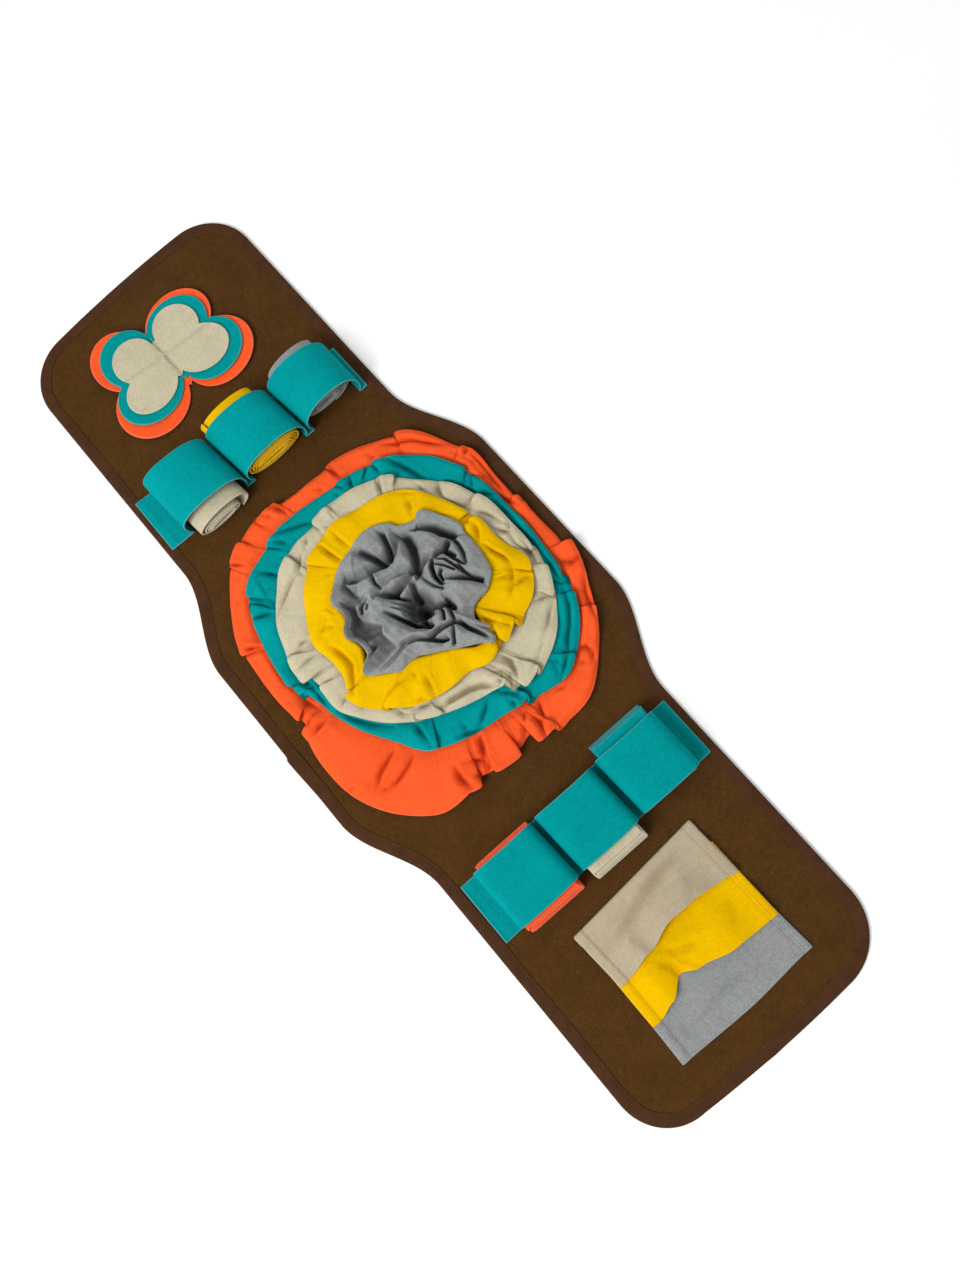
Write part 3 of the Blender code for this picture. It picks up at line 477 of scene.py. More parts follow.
def two_faces(name, upper, lower, material, wrap=False, pole=False, shade=None):
    """A closed cloth from the grids of its two faces, with a rounded cut edge.

    pole says that the last row of each face has run together in one point. shade is the share
    of light lost in the folds, for each point of the grids.
    """
    middle = (upper + lower) * 0.5
    thick = length_of(upper - lower)
    shade = there_and_back(np.zeros(upper.shape[:2]) if shade is None else shade)

    def rim(core, inner, size):
        return core + unit(core - inner) * size * RIM_BULGE

    first = rim(middle[:1], middle[1:2], thick[:1])
    last = rim(middle[-1:], middle[-2:-1], thick[-1:])
    ring = np.concatenate([first, upper, last, lower[::-1]])
    rows = len(upper)
    marks = np.zeros(ring.shape[:2])
    marks[[2, rows - 1, rows + 3, 2 * rows]] = SUPPORT_LIGHT
    marks[[0, 1, rows, rows + 1, rows + 2, 2 * rows + 1]] = 1.0
    if not wrap:
        shade = np.concatenate([shade[:, :1], shade, shade[:, -1:]], axis=1)
        marks[:, [1, -2]] = np.maximum(marks[:, [1, -2]], SUPPORT_LIGHT)
        marks[:, [0, -1]] = 1.0
        marks = np.concatenate([marks[:, :1], marks, marks[:, -1:]], axis=1)
        cores, sizes = there_and_back(middle), there_and_back(thick)
        left = rim(cores[:, :1], cores[:, 1:2], sizes[:, :1])
        right = rim(cores[:, -1:], cores[:, -2:-1], sizes[:, -1:])
        ring = np.concatenate([left, ring, right], axis=1)
    count, columns = ring.shape[:2]
    i = np.arange(count)[:, None]
    j = np.arange(columns if wrap else columns - 1)[None, :]
    i2, j2 = (i + 1) % count, (j + 1) % columns
    faces = np.stack([i * columns + j, i2 * columns + j, i2 * columns + j2, i * columns + j2],
                     axis=-1)
    if pole:
        faces = np.delete(faces, (rows, rows + 1), axis=0)
    faces = faces.reshape(-1, 4)
    piece = put_mesh(name, ring.reshape(-1, 3), faces.tolist(), material)
    put_marks(piece, "cut", marks)
    put_marks(piece, "shade", shade)
    clean(piece)
    piece["middle_area"] = grid_area(middle, wrap)
    return piece


def cloth(name, middle, material, wrap=False, shade=None):
    """A closed cloth of a fleece's thickness, with a grid of points along its middle."""
    middle = with_support(middle) if wrap else supported(middle)
    if shade is not None:
        shade = np.concatenate([shade[:1], shade, shade[-1:]])
    half = unit(square_to(middle, wrap)) * FLEECE * 0.5
    return two_faces(name, middle + half, middle - half, material, wrap, shade=shade)


def grid_area(grid, wrap):
    """Area of the sheet that a grid of points spans, in square metres."""
    if wrap:
        grid = np.concatenate([grid, grid[:, :1]], axis=1)
    a, b, c, d = grid[:-1, :-1], grid[1:, :-1], grid[1:, 1:], grid[:-1, 1:]
    size = length_of(np.cross(c - a, d - b)).sum() * 0.5
    return float(size) * MM * MM


def cut_area(x, y):
    """The area in square metres inside a closed outline given in millimetres."""
    return 0.5e-6 * abs(float(np.sum(x * np.roll(y, -1) - y * np.roll(x, -1))))


def triangles(piece):
    return sum(len(face.vertices) - 2 for face in piece.data.polygons)


def lay(piece, node, flat, area=None):
    """Hangs a finished cloth on the root, hides the solid it stands for, and prints its triangles
    and its cloth and cut areas.
    """
    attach(piece, "root")
    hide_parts(node)
    print(piece.name, "triangles:", triangles(piece),
          "cloth:", round(piece["middle_area"], 4), "m2",
          "cut:", round(area or flat[0] * flat[1], 4), "m2")


print("cloth maker ready")

# %% [markdown]
# ## The mat's outline
# The mat is a long strip with a wide belly. Half its width at any height is one eased step
# from the narrow end to the belly, and round arcs cut the four corners. The outline is made
# once as a dense line, then walked at an even pace, so that whatever follows it (the tape, the
# stitches, the ribs of the twill) has an even spacing too.

# %% Outline
MAT_LENGTH = 1000.0
END_HALF_WIDTH = 138.5
BELLY_HALF_WIDTH = 174.5
BELLY_STRAIGHT = 96.0       # the belly keeps its width this far from the middle
BELLY_END = 201.0           # and has eased down to the end's width here
END_BOW = 2.5               # how far the two ends bow out
CORNER_RADIUS = {(1, 1): 57.0, (-1, 1): 57.0, (-1, -1): 50.0, (1, -1): 57.0}    # (side, end)
END_Y = 0.5 * MAT_LENGTH - END_BOW
CORNER_POINTS, END_POINTS, SIDE_POINTS = 46, 40, 320
EDGE_PACE = 3.0             # step with which the edge is measured


def half_width(y):
    t = smooth((BELLY_END - np.abs(y)) / (BELLY_END - BELLY_STRAIGHT))
    return mix(END_HALF_WIDTH, BELLY_HALF_WIDTH, t)


def corner_arc(side, end, start):
    """Points round one corner, anticlockwise from an angle in degrees."""
    radius = CORNER_RADIUS[(side, end)]
    turn = np.radians(start + np.linspace(0.0, 90.0, CORNER_POINTS))
    return np.stack([side * (END_HALF_WIDTH - radius) + radius * np.cos(turn),
                     end * (END_Y - radius) + radius * np.sin(turn)], axis=1)


def end_edge(end):
    """The bowed edge across one end, in the direction of travel."""
    right = END_HALF_WIDTH - CORNER_RADIUS[(1, end)]
    left = -(END_HALF_WIDTH - CORNER_RADIUS[(-1, end)])
    t = np.linspace(0.0, 1.0, END_POINTS)[1:-1]
    x = mix(right, left, t if end > 0 else 1.0 - t)
    return np.stack([x, end * (END_Y + END_BOW * 4.0 * t * (1.0 - t))], axis=1)


def side_line(side):
    """One long side between its corners, in the direction of travel."""
    low, high = CORNER_RADIUS[(side, -1)] - END_Y, END_Y - CORNER_RADIUS[(side, 1)]
    y = np.linspace(low, high, SIDE_POINTS)[1:-1]
    line = np.stack([side * half_width(y), y], axis=1)
    return line if side > 0 else line[::-1]


def walked(line, pace, closed):
    """The line again, at an even pace, with the distance walked to each point."""
    if closed:
        line = np.concatenate([line, line[:1]])
    far = np.concatenate([[0.0], np.cumsum(np.hypot(*np.diff(line, axis=0).T))])
    count = max(2, int(round(far[-1] / pace)))
    stops = np.linspace(0.0, far[-1], count + 1)
    if closed:
        stops = stops[:-1]
    columns = [np.interp(stops, far, line[:, k]) for k in range(line.shape[1])]
    return np.stack(columns, axis=1), stops


def edge_normals(line):
    """Unit vectors that point out of a closed anticlockwise line."""
    step = np.roll(line, -1, axis=0) - np.roll(line, 1, axis=0)
    return unit(np.stack([step[:, 1], -step[:, 0]], axis=1))


OUTLINE = np.concatenate([
    side_line(1), corner_arc(1, 1, 0.0), end_edge(1), corner_arc(-1, 1, 90.0),
    side_line(-1), corner_arc(-1, -1, 180.0), end_edge(-1), corner_arc(1, -1, 270.0)])
PERIMETER = walked(OUTLINE, EDGE_PACE, True)[1][-1] + EDGE_PACE
print("the edge is", round(PERIMETER), "mm round")

# %% [markdown]
# ## The base
# The base is one thick brown fleece. It lies flat, but a cloth is never quite even: it swells
# and sinks a few tenths of a millimetre between its seams, and that is enough for raking light
# to pick up. Its rim is pressed thin where the tape grips it. The grid runs straight across
# the mat, and its rows crowd together at the ends so that they follow the round corners.

# %% Base cloth
BASE_TOP = 3.0
BASE_INSET = 1.0        # the rim ends this far inside the outline
RIM_LOW = 0.95          # underside and top of the rim that the tape grips
RIM_HIGH = 2.65
RIM_WIDTH = 13.0        # how broad the pressed rim is, and how broad its slope up to the rest
RIM_SLOPE = 4.5
SWELL = 0.22            # how far the fleece swells and sinks
ROUND = CORNER_RADIUS[(1, 1)]   # the grid's rows crowd over this radius at the ends
BEND_ROWS, PLAIN_ROWS, BASE_COLUMNS = 23, 128, 53
LAST_BEND = 88.0        # the last row stays this side of the arc's end, degrees
CROWDING = 1.25         # how much the columns crowd toward the sides
BOW_START, BOW_EASE = 440.0, 55.0   # where the ends start to bow, and over what length
NEAREST_BATCH = 2000    # points measured at a time
OUTLINE_PACE = 2.5


def swell(x, y, size=1.0, seed=0.0):
    """A slow unevenness between -1 and 1, the same on every run."""
    a = np.sin(x / (31.0 * size) + 1.3 * np.sin(y / (47.0 * size) + seed) + seed)
    b = np.sin(y / (38.0 * size) - 1.1 * np.sin(x / (53.0 * size) - seed) + 2.0 * seed)
    c = np.sin((x + y) / (19.0 * size) + 0.7 * seed) * np.sin((x - y) / (23.0 * size))
    return (a + b + 0.7 * c) / 2.7


def reach_at(y, side):
    """How far the base goes to one side at a height y."""
    reach = half_width(y)
    for end in (1, -1):
        radius = CORNER_RADIUS[(side, end)]
        over = np.clip(end * y - (END_Y - radius), 0.0, radius)
        bend = END_HALF_WIDTH - radius + np.sqrt(radius * radius - over * over)
        reach = np.where(over > 0.0, bend, reach)
    return reach


def distance_to_edge(x, y):
    line, stops = walked(OUTLINE, OUTLINE_PACE, True)
    nearest = np.empty(x.size)
    for start in range(0, x.size, NEAREST_BATCH):
        part = slice(start, start + NEAREST_BATCH)
        gap = np.hypot(x.reshape(-1)[part, None] - line[:, 0],
                       y.reshape(-1)[part, None] - line[:, 1])
        nearest[part] = gap.min(axis=1)
    return nearest.reshape(x.shape)


def base_faces():
    """The upper and lower faces of the base."""
    turn = np.radians(np.linspace(0.0, LAST_BEND, BEND_ROWS))
    bend_y = END_Y - ROUND + ROUND * np.sin(turn)
    plain_y = np.linspace(-bend_y[0], bend_y[0], PLAIN_ROWS)[1:-1]
    y = np.concatenate([-bend_y[::-1], plain_y, bend_y])
    share = np.linspace(-1.0, 1.0, BASE_COLUMNS)
    share = np.sign(share) * (1.0 - (1.0 - np.abs(share)) ** CROWDING)
    left, right = reach_at(y, -1) - BASE_INSET, reach_at(y, 1) - BASE_INSET
    x = 0.5 * (right - left)[:, None] + 0.5 * (right + left)[:, None] * share[None, :]
    y = np.repeat(y[:, None], len(share), axis=1)
    bow = np.clip(1.0 - (x / (END_HALF_WIDTH - ROUND)) ** 2, 0.0, 1.0)
    y = y + np.sign(y) * END_BOW * bow * smooth((np.abs(y) - BOW_START) / BOW_EASE)
    inside = smooth((distance_to_edge(x, y) - RIM_WIDTH) / RIM_SLOPE)
    high = RIM_HIGH + (BASE_TOP - SWELL - RIM_HIGH + SWELL * swell(x, y)) * inside
    low = RIM_LOW * (1.0 - inside)
    return np.stack([x, y, high], axis=-1), np.stack([x, y, low], axis=-1)


base = two_faces("mat_base", *base_faces(), FLEECES["base"])
lay(base, "base_panel", (0.352, 1.002), cut_area(*OUTLINE.T))

# %% [markdown]
# ## The binding
# A twill tape is folded over the rim and sewn through. Its section is an open C: flat above
# and below, round at the outside, and pressed down where the stitches pull it. The section is
# carried round the outline. Round the curves the tape has more length than it needs at its
# inner edge, so it puckers there, and on the left its end laps over its start.

# %% Binding tape
TAPE_PACE = 2.6             # from one station of the tape to the next
TAPE_LAP_Y = -14.0          # where the tape's end laps over its start
TAPE_LAP_STEP = 1.8         # how far the upper end stands out where it starts
TAPE_LAP_FADE = 55.0        # length over which that step fades
TAPE_LAP_RISE = 0.55        # how far the upper end lies over the plain tape
TAPE_TUCK = (118.0, -478.0, 26.0)   # (x, y, reach) of the corner where it puckers most
TAPE_CUT_ROWS = (0, 14, 15, 16, 22)     # rows of the section that lie along a cut edge
TAPE_CUT_WIDTH = 0.026      # m
# section of the tape: (depth in from the edge, height), round the outside and back inside
TAPE_SECTION = (
    (12, 0), (7, 0), (2.2, 0), (0.75, 0.35), (0.1, 1.1), (0, 1.9), (0.25, 2.8),
    (1, 3.35), (2.4, 3.6), (5, 3.66), (7.6, 3.62), (9.4, 3.42), (10.4, 3.3), (11.2, 3.4),
    (12, 3.48), (12.15, 3.3), (12, 3), (9, 2.85), (2, 2.85), (0.9, 1.9), (2, 0.7),
    (9, 0.7), (12, 0.6),
)


def tape_shape(line, stops):
    """How the tape strays from its plain section at each point of its walk."""
    x, y = line[:, 0], line[:, 1]
    behind, ahead = np.roll(line, 4, axis=0), np.roll(line, -4, axis=0)
    one, two = line - behind, ahead - line
    bend = np.abs(one[:, 0] * two[:, 1] - one[:, 1] * two[:, 0]) / 150.0
    pucker = smooth(bend * 3.0) * 0.26 + 0.05
    tuck_x, tuck_y, tuck_reach = TAPE_TUCK
    tuck = np.exp(-((x - tuck_x) ** 2 + (y - tuck_y) ** 2) / tuck_reach ** 2)
    wave = np.sin(stops / 1.9 + 2.0 * np.sin(stops / 31.0)) * (pucker + 0.35 * tuck)
    lip = 0.35 * np.sin(stops / 17.0) + 0.25 * np.sin(stops / 6.3 + 1.0)
    past = TAPE_LAP_Y - y
    lap = np.where((x < 0.0) & (past > -1.5), smooth((past + 1.5) / 1.5), 0.0)
    lap = lap * smooth((TAPE_LAP_FADE - past) / TAPE_LAP_FADE)
    return wave, lip, lap


edge_line, edge_stops = walked(OUTLINE, TAPE_PACE, True)
edge_out = edge_normals(edge_line)
wave, lip, lap = tape_shape(edge_line, edge_stops)


def tape_rows():
    """The tape's points, one row for each point of its section."""
    rows = []
    for depth, height in TAPE_SECTION:
        inner = smooth((depth - 2.0) / 8.0)
        over = 1.0 if height > 1.5 else 0.0
        away = depth + lip * inner - lap * TAPE_LAP_STEP * (1.0 - inner)
        z = height + over * (wave * inner + TAPE_LAP_RISE * lap)
        rows.append(np.column_stack([edge_line - edge_out * away[:, None], z]))
    return np.stack(rows)


def tape_uv():
    """For each corner of each face, the way along the tape and the way across it, in mm."""
    section = np.array(TAPE_SECTION + TAPE_SECTION[:1])
    walk_round = np.concatenate([[0.0], np.cumsum(np.hypot(*np.diff(section, axis=0).T))])
    pairs = []
    for start, end in zip(walk_round, walk_round[1:]):
        for stop in edge_stops:
            ahead = stop + TAPE_PACE
            pairs += [(stop, start), (ahead, start), (ahead, end), (stop, end)]
    return np.array(pairs)


tape_points = tape_rows()
sides, stations = tape_points.shape[:2]
tape_faces = [(s * stations + i, s * stations + (i + 1) % stations,
               (s + 1) % sides * stations + (i + 1) % stations, (s + 1) % sides * stations + i)
              for s in range(sides) for i in range(stations)]
tape = put_mesh("mat_binding", tape_points.reshape(-1, 3), tape_faces, BINDING_TWILL)
uv = tape.data.uv_layers.new(name="along")
uv.data.foreach_set("uv", (tape_uv() * MM).reshape(-1))
tape_marks = np.zeros((sides, stations))
tape_marks[list(TAPE_CUT_ROWS)] = 1.0
put_marks(tape, "cut", tape_marks)
clean(tape)
tape["middle_area"] = PERIMETER * MM * TAPE_CUT_WIDTH
lay(tape, "edge_binding", (0.0265, 2.62))

# %% [markdown]
# ## Sewing with Geometry Nodes
# A running stitch is the same small thing over and over along a line, which is just what
# Geometry Nodes are for. The tree walks a curve at a fixed pitch, drops a slim ellipsoid at
# each stop, turns it along the curve and makes all of them real. Pitch, stitch length, thread
# thickness and thread are named inputs, so one tree sews every seam on the mat.

# %% Stitch tree
def stitch_tree():
    tree = bpy.data.node_groups.new("running_stitch", "GeometryNodeTree")
    for name, way, kind in (("Geometry", "INPUT", "Geometry"), ("Pitch", "INPUT", "Float"),
                            ("Stitch length", "INPUT", "Float"), ("Thread", "INPUT", "Float"),
                            ("Yarn", "INPUT", "Material"), ("Geometry", "OUTPUT", "Geometry")):
        tree.interface.new_socket(name, in_out=way, socket_type="NodeSocket" + kind)

    add = functools.partial(add_node, tree)
    given = add("NodeGroupInput").outputs
    stops = add("GeometryNodeResampleCurve", {"mode": "LENGTH"},
                {"Curve": given["Geometry"], "Length": given["Pitch"]})
    grain = add("GeometryNodeMeshUVSphere", {}, {"Segments": 6, "Rings": 4, "Radius": 1.0})
    half = add("ShaderNodeMath", {"operation": "MULTIPLY"}, {0: given["Stitch length"], 1: 0.5})
    size = add("ShaderNodeCombineXYZ", {}, {0: given["Thread"], 1: given["Thread"], 2: half})
    stitch = add("GeometryNodeTransform", {}, {"Geometry": grain, "Scale": size})
    tangent = add("GeometryNodeInputTangent")
    turned = add("FunctionNodeAlignRotationToVector", {"axis": "Z"}, {"Vector": tangent})
    uneven = add("FunctionNodeRandomValue", {"data_type": "FLOAT"}, {
        "Min": 0.86, "Max": 1.08, "Seed": 7})
    even = [o for o in uneven.outputs if o.enabled and o.type == "VALUE"][0]
    sewn = add("GeometryNodeInstanceOnPoints", {}, {
        "Points": stops, "Instance": stitch, "Rotation": turned, "Scale": even})
    real = add("GeometryNodeRealizeInstances", {}, {"Geometry": sewn})
    smoothed = add("GeometryNodeSetShadeSmooth", {}, {"Geometry": real})
    dyed = add("GeometryNodeSetMaterial", {}, {"Geometry": smoothed, "Material": given["Yarn"]})
    add("NodeGroupOutput", {}, {0: dyed})
    return tree


RUNNING_STITCH = stitch_tree()
STITCH_INPUTS = {item.name: item.identifier for item in RUNNING_STITCH.interface.items_tree
                 if item.in_out == "INPUT"}


def sew(name, lines, colour, pitch=3.6, stitch=2.6, radius=0.26):
    """One mesh of stitches along lines of points in mm, in a colour of thread."""
    curve = bpy.data.curves.new(name, "CURVE")
    curve.dimensions = "3D"
    for line in lines:
        spline = curve.splines.new("POLY")
        spline.points.add(len(line) - 1)
        flat = np.column_stack([np.asarray(line) * MM, np.ones(len(line))])
        spline.points.foreach_set("co", flat.reshape(-1))
    path = in_scene(name + "_path", curve)
    sewing = path.modifiers.new("sewing", "NODES")
    sewing.node_group = RUNNING_STITCH
    for word, value in (("Pitch", pitch * MM), ("Stitch length", stitch * MM),
                        ("Thread", radius * MM), ("Yarn", THREADS[colour])):
        sewing[STITCH_INPUTS[word]] = value
    bpy.context.view_layer.update()
    graph = bpy.context.evaluated_depsgraph_get()
    mesh = bpy.data.meshes.new_from_object(path.evaluated_get(graph))
    bpy.data.objects.remove(path, do_unlink=True)
    mesh.name = name
    piece = in_scene(name, mesh)
    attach(piece, "root")
    print(name, "triangles:", triangles(piece))


STITCH_DEPTH = 10.4         # in from the edge
STITCH_HEIGHT = 3.42        # on the tape's upper face, where the thread presses it down
sewn_z = STITCH_HEIGHT + wave * 0.9 + TAPE_LAP_RISE * lap
sewn_edge = np.column_stack([edge_line - edge_out * STITCH_DEPTH, sewn_z])
sewn_edge = np.concatenate([sewn_edge, sewn_edge[:1]])
sew("binding_stitches", [sewn_edge], "brown", pitch=3.7, stitch=2.7)

# %% [markdown]
# ## Tables for the rosette
# The rosette is four pleated rings nested in each other round a bunched middle. Each ring's
# free edge is a table: at an angle, how far out it reaches and how much it lifts. Between the
# rows the values ease over without overshooting, so that a table of forty rows makes a smooth
# edge at any fineness.

# %% Rosette tables
# Rings 1 to 4 are pleated, 5 is the free edge of the middle, 6 its crown and 7 its heart.
RING_CENTRE = {1: (10, 10), 2: (10, 10), 3: (10, 10), 4: (10, 10),
               5: (20, 12), 6: (20, 8), 7: (18, -1)}
RING_HEIGHT = {1: 5.6, 2: 12.5, 3: 19.5, 4: 27.5, 5: 37, 6: 53, 7: 45}
LAYER_PITCH = 3.4           # how far a ring has sunk under the mound where the next one starts

# free edges: (angle in degrees, radius, lift)
ORANGE_EDGE = (
    (0, 150, 2), (5, 153, 5), (8, 148, 0), (14, 152, 2), (20, 157, 0), (31, 173, 5), (34, 170, 0),
    (44, 179, 3), (53, 187, 6), (56, 179, 0), (68, 179, 3), (78, 176, 5), (80, 174, 0),
    (90, 172, 3), (100, 178, 0), (102, 186, 6), (112, 192, 1), (122, 196, 5), (124, 194, 0),
    (137, 184, 3), (150, 176, 6), (152, 172, 0), (165, 160, 3), (178, 153, 5), (184, 147, 0),
    (190, 159, 4), (200, 172, 1), (212, 184, 4), (224, 191, 1), (236, 193, 2), (247, 180, 6),
    (253, 168, 0), (262, 173, 6), (268, 164, 2), (272, 160, 0), (276, 175, 7), (284, 181, 2),
    (293, 187, 5), (305, 181, 1), (318, 175, 6), (320, 173, 0), (329, 169, 3), (337, 169, 6),
    (347, 155, 0),
)
TEAL_EDGE = (
    (5, 137, 1), (14, 140, 3), (22, 144, 5), (25, 146, 0), (35, 151, 4), (45, 157, 1),
    (62, 157, 6), (64, 155, 0), (74, 152, 4), (84, 151, 0), (100, 157, 3), (112, 163, 6),
    (114, 161, 0), (122, 166, 3), (130, 168, 6), (132, 166, 0), (141, 158, 4), (150, 151, 1),
    (165, 140, 6), (172, 137, 0), (180, 124, 4), (190, 123, 1), (200, 122, 4), (212, 122, 1),
    (222, 124, 3), (238, 134, 6), (241, 132, 0), (248, 132, 3), (256, 131, 1), (268, 132, 6),
    (278, 138, 8), (285, 145, 0), (298, 162, 5), (306, 161, 1), (314, 160, 4), (322, 157, 6),
    (325, 153, 0), (335, 146, 4), (345, 140, 1), (354, 138, 4),
)
CREAM_EDGE = (
    (0, 127, 1), (8, 128, 3), (16, 130, 6), (19, 127, 0), (31, 130, 4), (39, 129, 1),
    (46, 128, 3), (54, 132, 1), (62, 137, 6), (64, 136, 0), (75, 136, 4), (84, 136, 1),
    (94, 136, 5), (97, 127, 0), (104, 133, 3), (112, 136, 1), (120, 137, 5), (132, 134, 1),
    (144, 132, 4), (156, 128, 1), (166, 128, 6), (176, 111, 0), (184, 114, 4), (192, 117, 1),
    (202, 112, 4), (213, 109, 1), (222, 107, 4), (230, 105, 1), (240, 104, 5), (250, 103, 1),
    (260, 105, 4), (268, 107, 1), (279, 114, 6), (284, 126, 0), (288, 134, 6), (298, 138, 1),
    (309, 140, 4), (320, 138, 0), (330, 137, 4), (340, 133, 0), (350, 129, 4),
)
YELLOW_EDGE = (
    (0, 106, 2), (10, 109, 5), (14, 106, 0), (24, 108, 4), (35, 111, 1), (44, 114, 4),
    (52, 118, 1), (65, 115, 4), (78, 112, 1), (86, 114, 4), (95, 116, 2), (98, 112, 0),
    (105, 112, 3), (112, 112, 5), (114, 110, 0), (126, 105, 4), (140, 101, 1), (150, 99, 4),
    (158, 98, 5), (172, 88, 0), (184, 87, 4), (191, 95, 1), (198, 103, 5), (212, 98, 0),
    (221, 94, 4), (230, 92, 1), (240, 89, 4), (250, 86, 1), (261, 84, 4), (272, 82, 1),
    (288, 94, 6), (297, 93, 0), (306, 100, 5), (316, 109, 1), (325, 118, 4), (333, 121, 1),
    (340, 122, 5), (352, 110, 0),
)
GREY_EDGE = (
    (6, 78, 2), (20, 83, 4), (34, 87, 2), (44, 86, 4), (54, 72, 0), (66, 75, 3), (76, 83, 3),
    (88, 82, 4), (97, 80, 0), (113, 80, 4), (124, 81, 1), (140, 79, 5), (152, 68, 0),
    (166, 74, 5), (181, 67, 0), (194, 82, 5), (212, 72, 1), (230, 56, 0), (248, 55, 2),
    (270, 62, 1), (286, 80, 5), (296, 74, 0), (308, 57, 0), (322, 67, 3), (338, 76, 4),
    (352, 77, 1),
)
EDGES = {1: ORANGE_EDGE, 2: TEAL_EDGE, 3: CREAM_EDGE, 4: YELLOW_EDGE, 5: GREY_EDGE}
TIER_NAMES = {1: "orange", 2: "teal", 3: "cream", 4: "yellow"}
HEART_CROWN = 0.56  # radius of the middle's crown, as a share of its free edge's
HEART_LIP = 8.0     # radius of its heart
BROADEN = 7.0       # the inner part of a ring follows the next edge averaged over this, degrees


def round_table(rows, column, angle):
    """A table's column round a ring, eased between its rows with no overshoot."""
    knots = np.array([row[0] for row in rows], float)
    values = np.array([row[column] for row in rows], float)
    knots = np.concatenate([knots[-2:] - 360.0, knots, knots[:3] + 360.0])
    values = np.concatenate([values[-2:], values, values[:3]])
    gaps = np.diff(knots)
    rates = np.diff(values) / gaps
    slopes = np.zeros(len(knots))
    agree = rates[:-1] * rates[1:] > 0.0
    total = np.where(agree, rates[:-1] + rates[1:], 1.0)
    slopes[1:-1] = np.where(agree, 2.0 * rates[:-1] * rates[1:] / total, 0.0)
    angle = np.mod(np.asarray(angle, float), 360.0)
    angle = np.where(angle < rows[0][0], angle + 360.0, angle)
    k = np.clip(np.searchsorted(knots, angle, side="right") - 1, 1, len(knots) - 3)
    t = (angle - knots[k]) / gaps[k]
    ease = t * t * (3.0 - 2.0 * t)
    return (mix(values[k], values[k + 1], ease)
            + slopes[k] * gaps[k] * t * (1.0 - t) ** 2
            - slopes[k + 1] * gaps[k] * t * t * (1.0 - t))


def broad(ring, angle):
    """A ring's radius with its pleats averaged away."""
    if ring == 7:
        return np.full(np.shape(angle), HEART_LIP)
    rows, scale = (GREY_EDGE, HEART_CROWN) if ring == 6 else (EDGES[ring], 1.0)
    shifts = np.linspace(-BROADEN, BROADEN, 9)
    return scale * np.mean([round_table(rows, 1, angle + shift) for shift in shifts], axis=0)


def at_ring(ring, angle, radius):
    """Places on the plan at angles round a ring's centre."""
    centre = RING_CENTRE[ring]
    return np.stack([centre[0] + radius * np.cos(np.radians(angle)),
                     centre[1] + radius * np.sin(np.radians(angle))], axis=-1)


print("rows in the rosette tables:", sum(len(rows) for rows in EDGES.values()))

# %% [markdown]
# ## Knife pleats
# A knife pleat is a cloth that runs on, doubles back under itself, and runs on again. Seen
# from above, one fold lies over the next and leaves a dark step. To make one, each point of
# the ring keeps an angle of its own in the flat strip. Near a pleat that angle is pushed
# forward, then back, then forward, while the height steps down, so the strip really passes
# over itself. Wherever a table's lift jumps within a few degrees, there is such a pleat, and
# the side that lifts is the one on top.

# %% Pleats
PLEAT_SPREAD = 10.0     # a jump of lift within this many degrees is a pleat
PLEAT_JUMP = 4.0
PLEAT_REACH = (3.6, 7.4)    # half the width of the doubled part at least and at most, mm
PLEAT_HEIGHT = (1.4, 2.2)   # from the lowest ply to the highest, mm
PLEAT_SLANT = 9.0       # how far a fold's line may lean on its way in, mm
PLEAT_LENGTH = (0.5, 1.0)   # how far a pleat runs in, as a share of the ring's width
PLEAT_FOLD = 0.93       # how far the cloth doubles back, in reaches
PLEAT_PEAK = 3.494      # makes the highest value of s (1 - s s)^2 one
PLEAT_STEP = 0.75       # half the width of the step down from the upper ply, in reaches
PLEAT_TURN = 0.36       # where the cloth turns, as a share of the reach
PLEAT_CREST = 0.9       # where the upper ply is highest, as a share of the reach
PLEAT_FOOT = 0.84       # where the light is least, as a share of the reach
PLEAT_TAIL = 2.6        # how slowly the upper ply sinks back, in reaches
PLEAT_CORNER = 1.5      # how much the corners of the folds are rounded off, mm
PLEAT_LEFT = 0.35       # share of a pleat left where the next ring covers it
PLEAT_DARK = 0.62       # share of light lost in the corner under the upper ply
STRIP_PACE = 0.8        # degrees from one station round a ring to the next
FINE_ZONE = 1.9         # they stand closer within this many reaches of a pleat
FINE_STATIONS = 8       # stations in one reach there
LEAST_GAP = 0.05        # and never closer than this, degrees


def pleats_of(tier):
    """A ring's pleats, each with sizes of its own.

    Each is (middle, reach and slant in degrees, side on top, first and last angle of its rows,
    height, length).
    """
    rows = EDGES[tier]
    dice = random.Random(20 + tier)
    found = []
    following = rows[1:] + ((rows[0][0] + 360, rows[0][1], rows[0][2]),)
    for (a, radius, lift), (b, radius2, lift2) in zip(rows, following):
        if b - a <= PLEAT_SPREAD and abs(lift - lift2) >= PLEAT_JUMP:
            to_degrees = math.degrees(2.0 / (radius + radius2))
            found.append((0.5 * (a + b), dice.uniform(*PLEAT_REACH) * to_degrees,
                          dice.uniform(-PLEAT_SLANT, PLEAT_SLANT) * to_degrees,
                          1.0 if lift > lift2 else -1.0, a, b,
                          dice.uniform(*PLEAT_HEIGHT), dice.uniform(*PLEAT_LENGTH)))
    return found


def angle_apart(angle, middle):
    return (angle - middle + 180.0) % 360.0 - 180.0


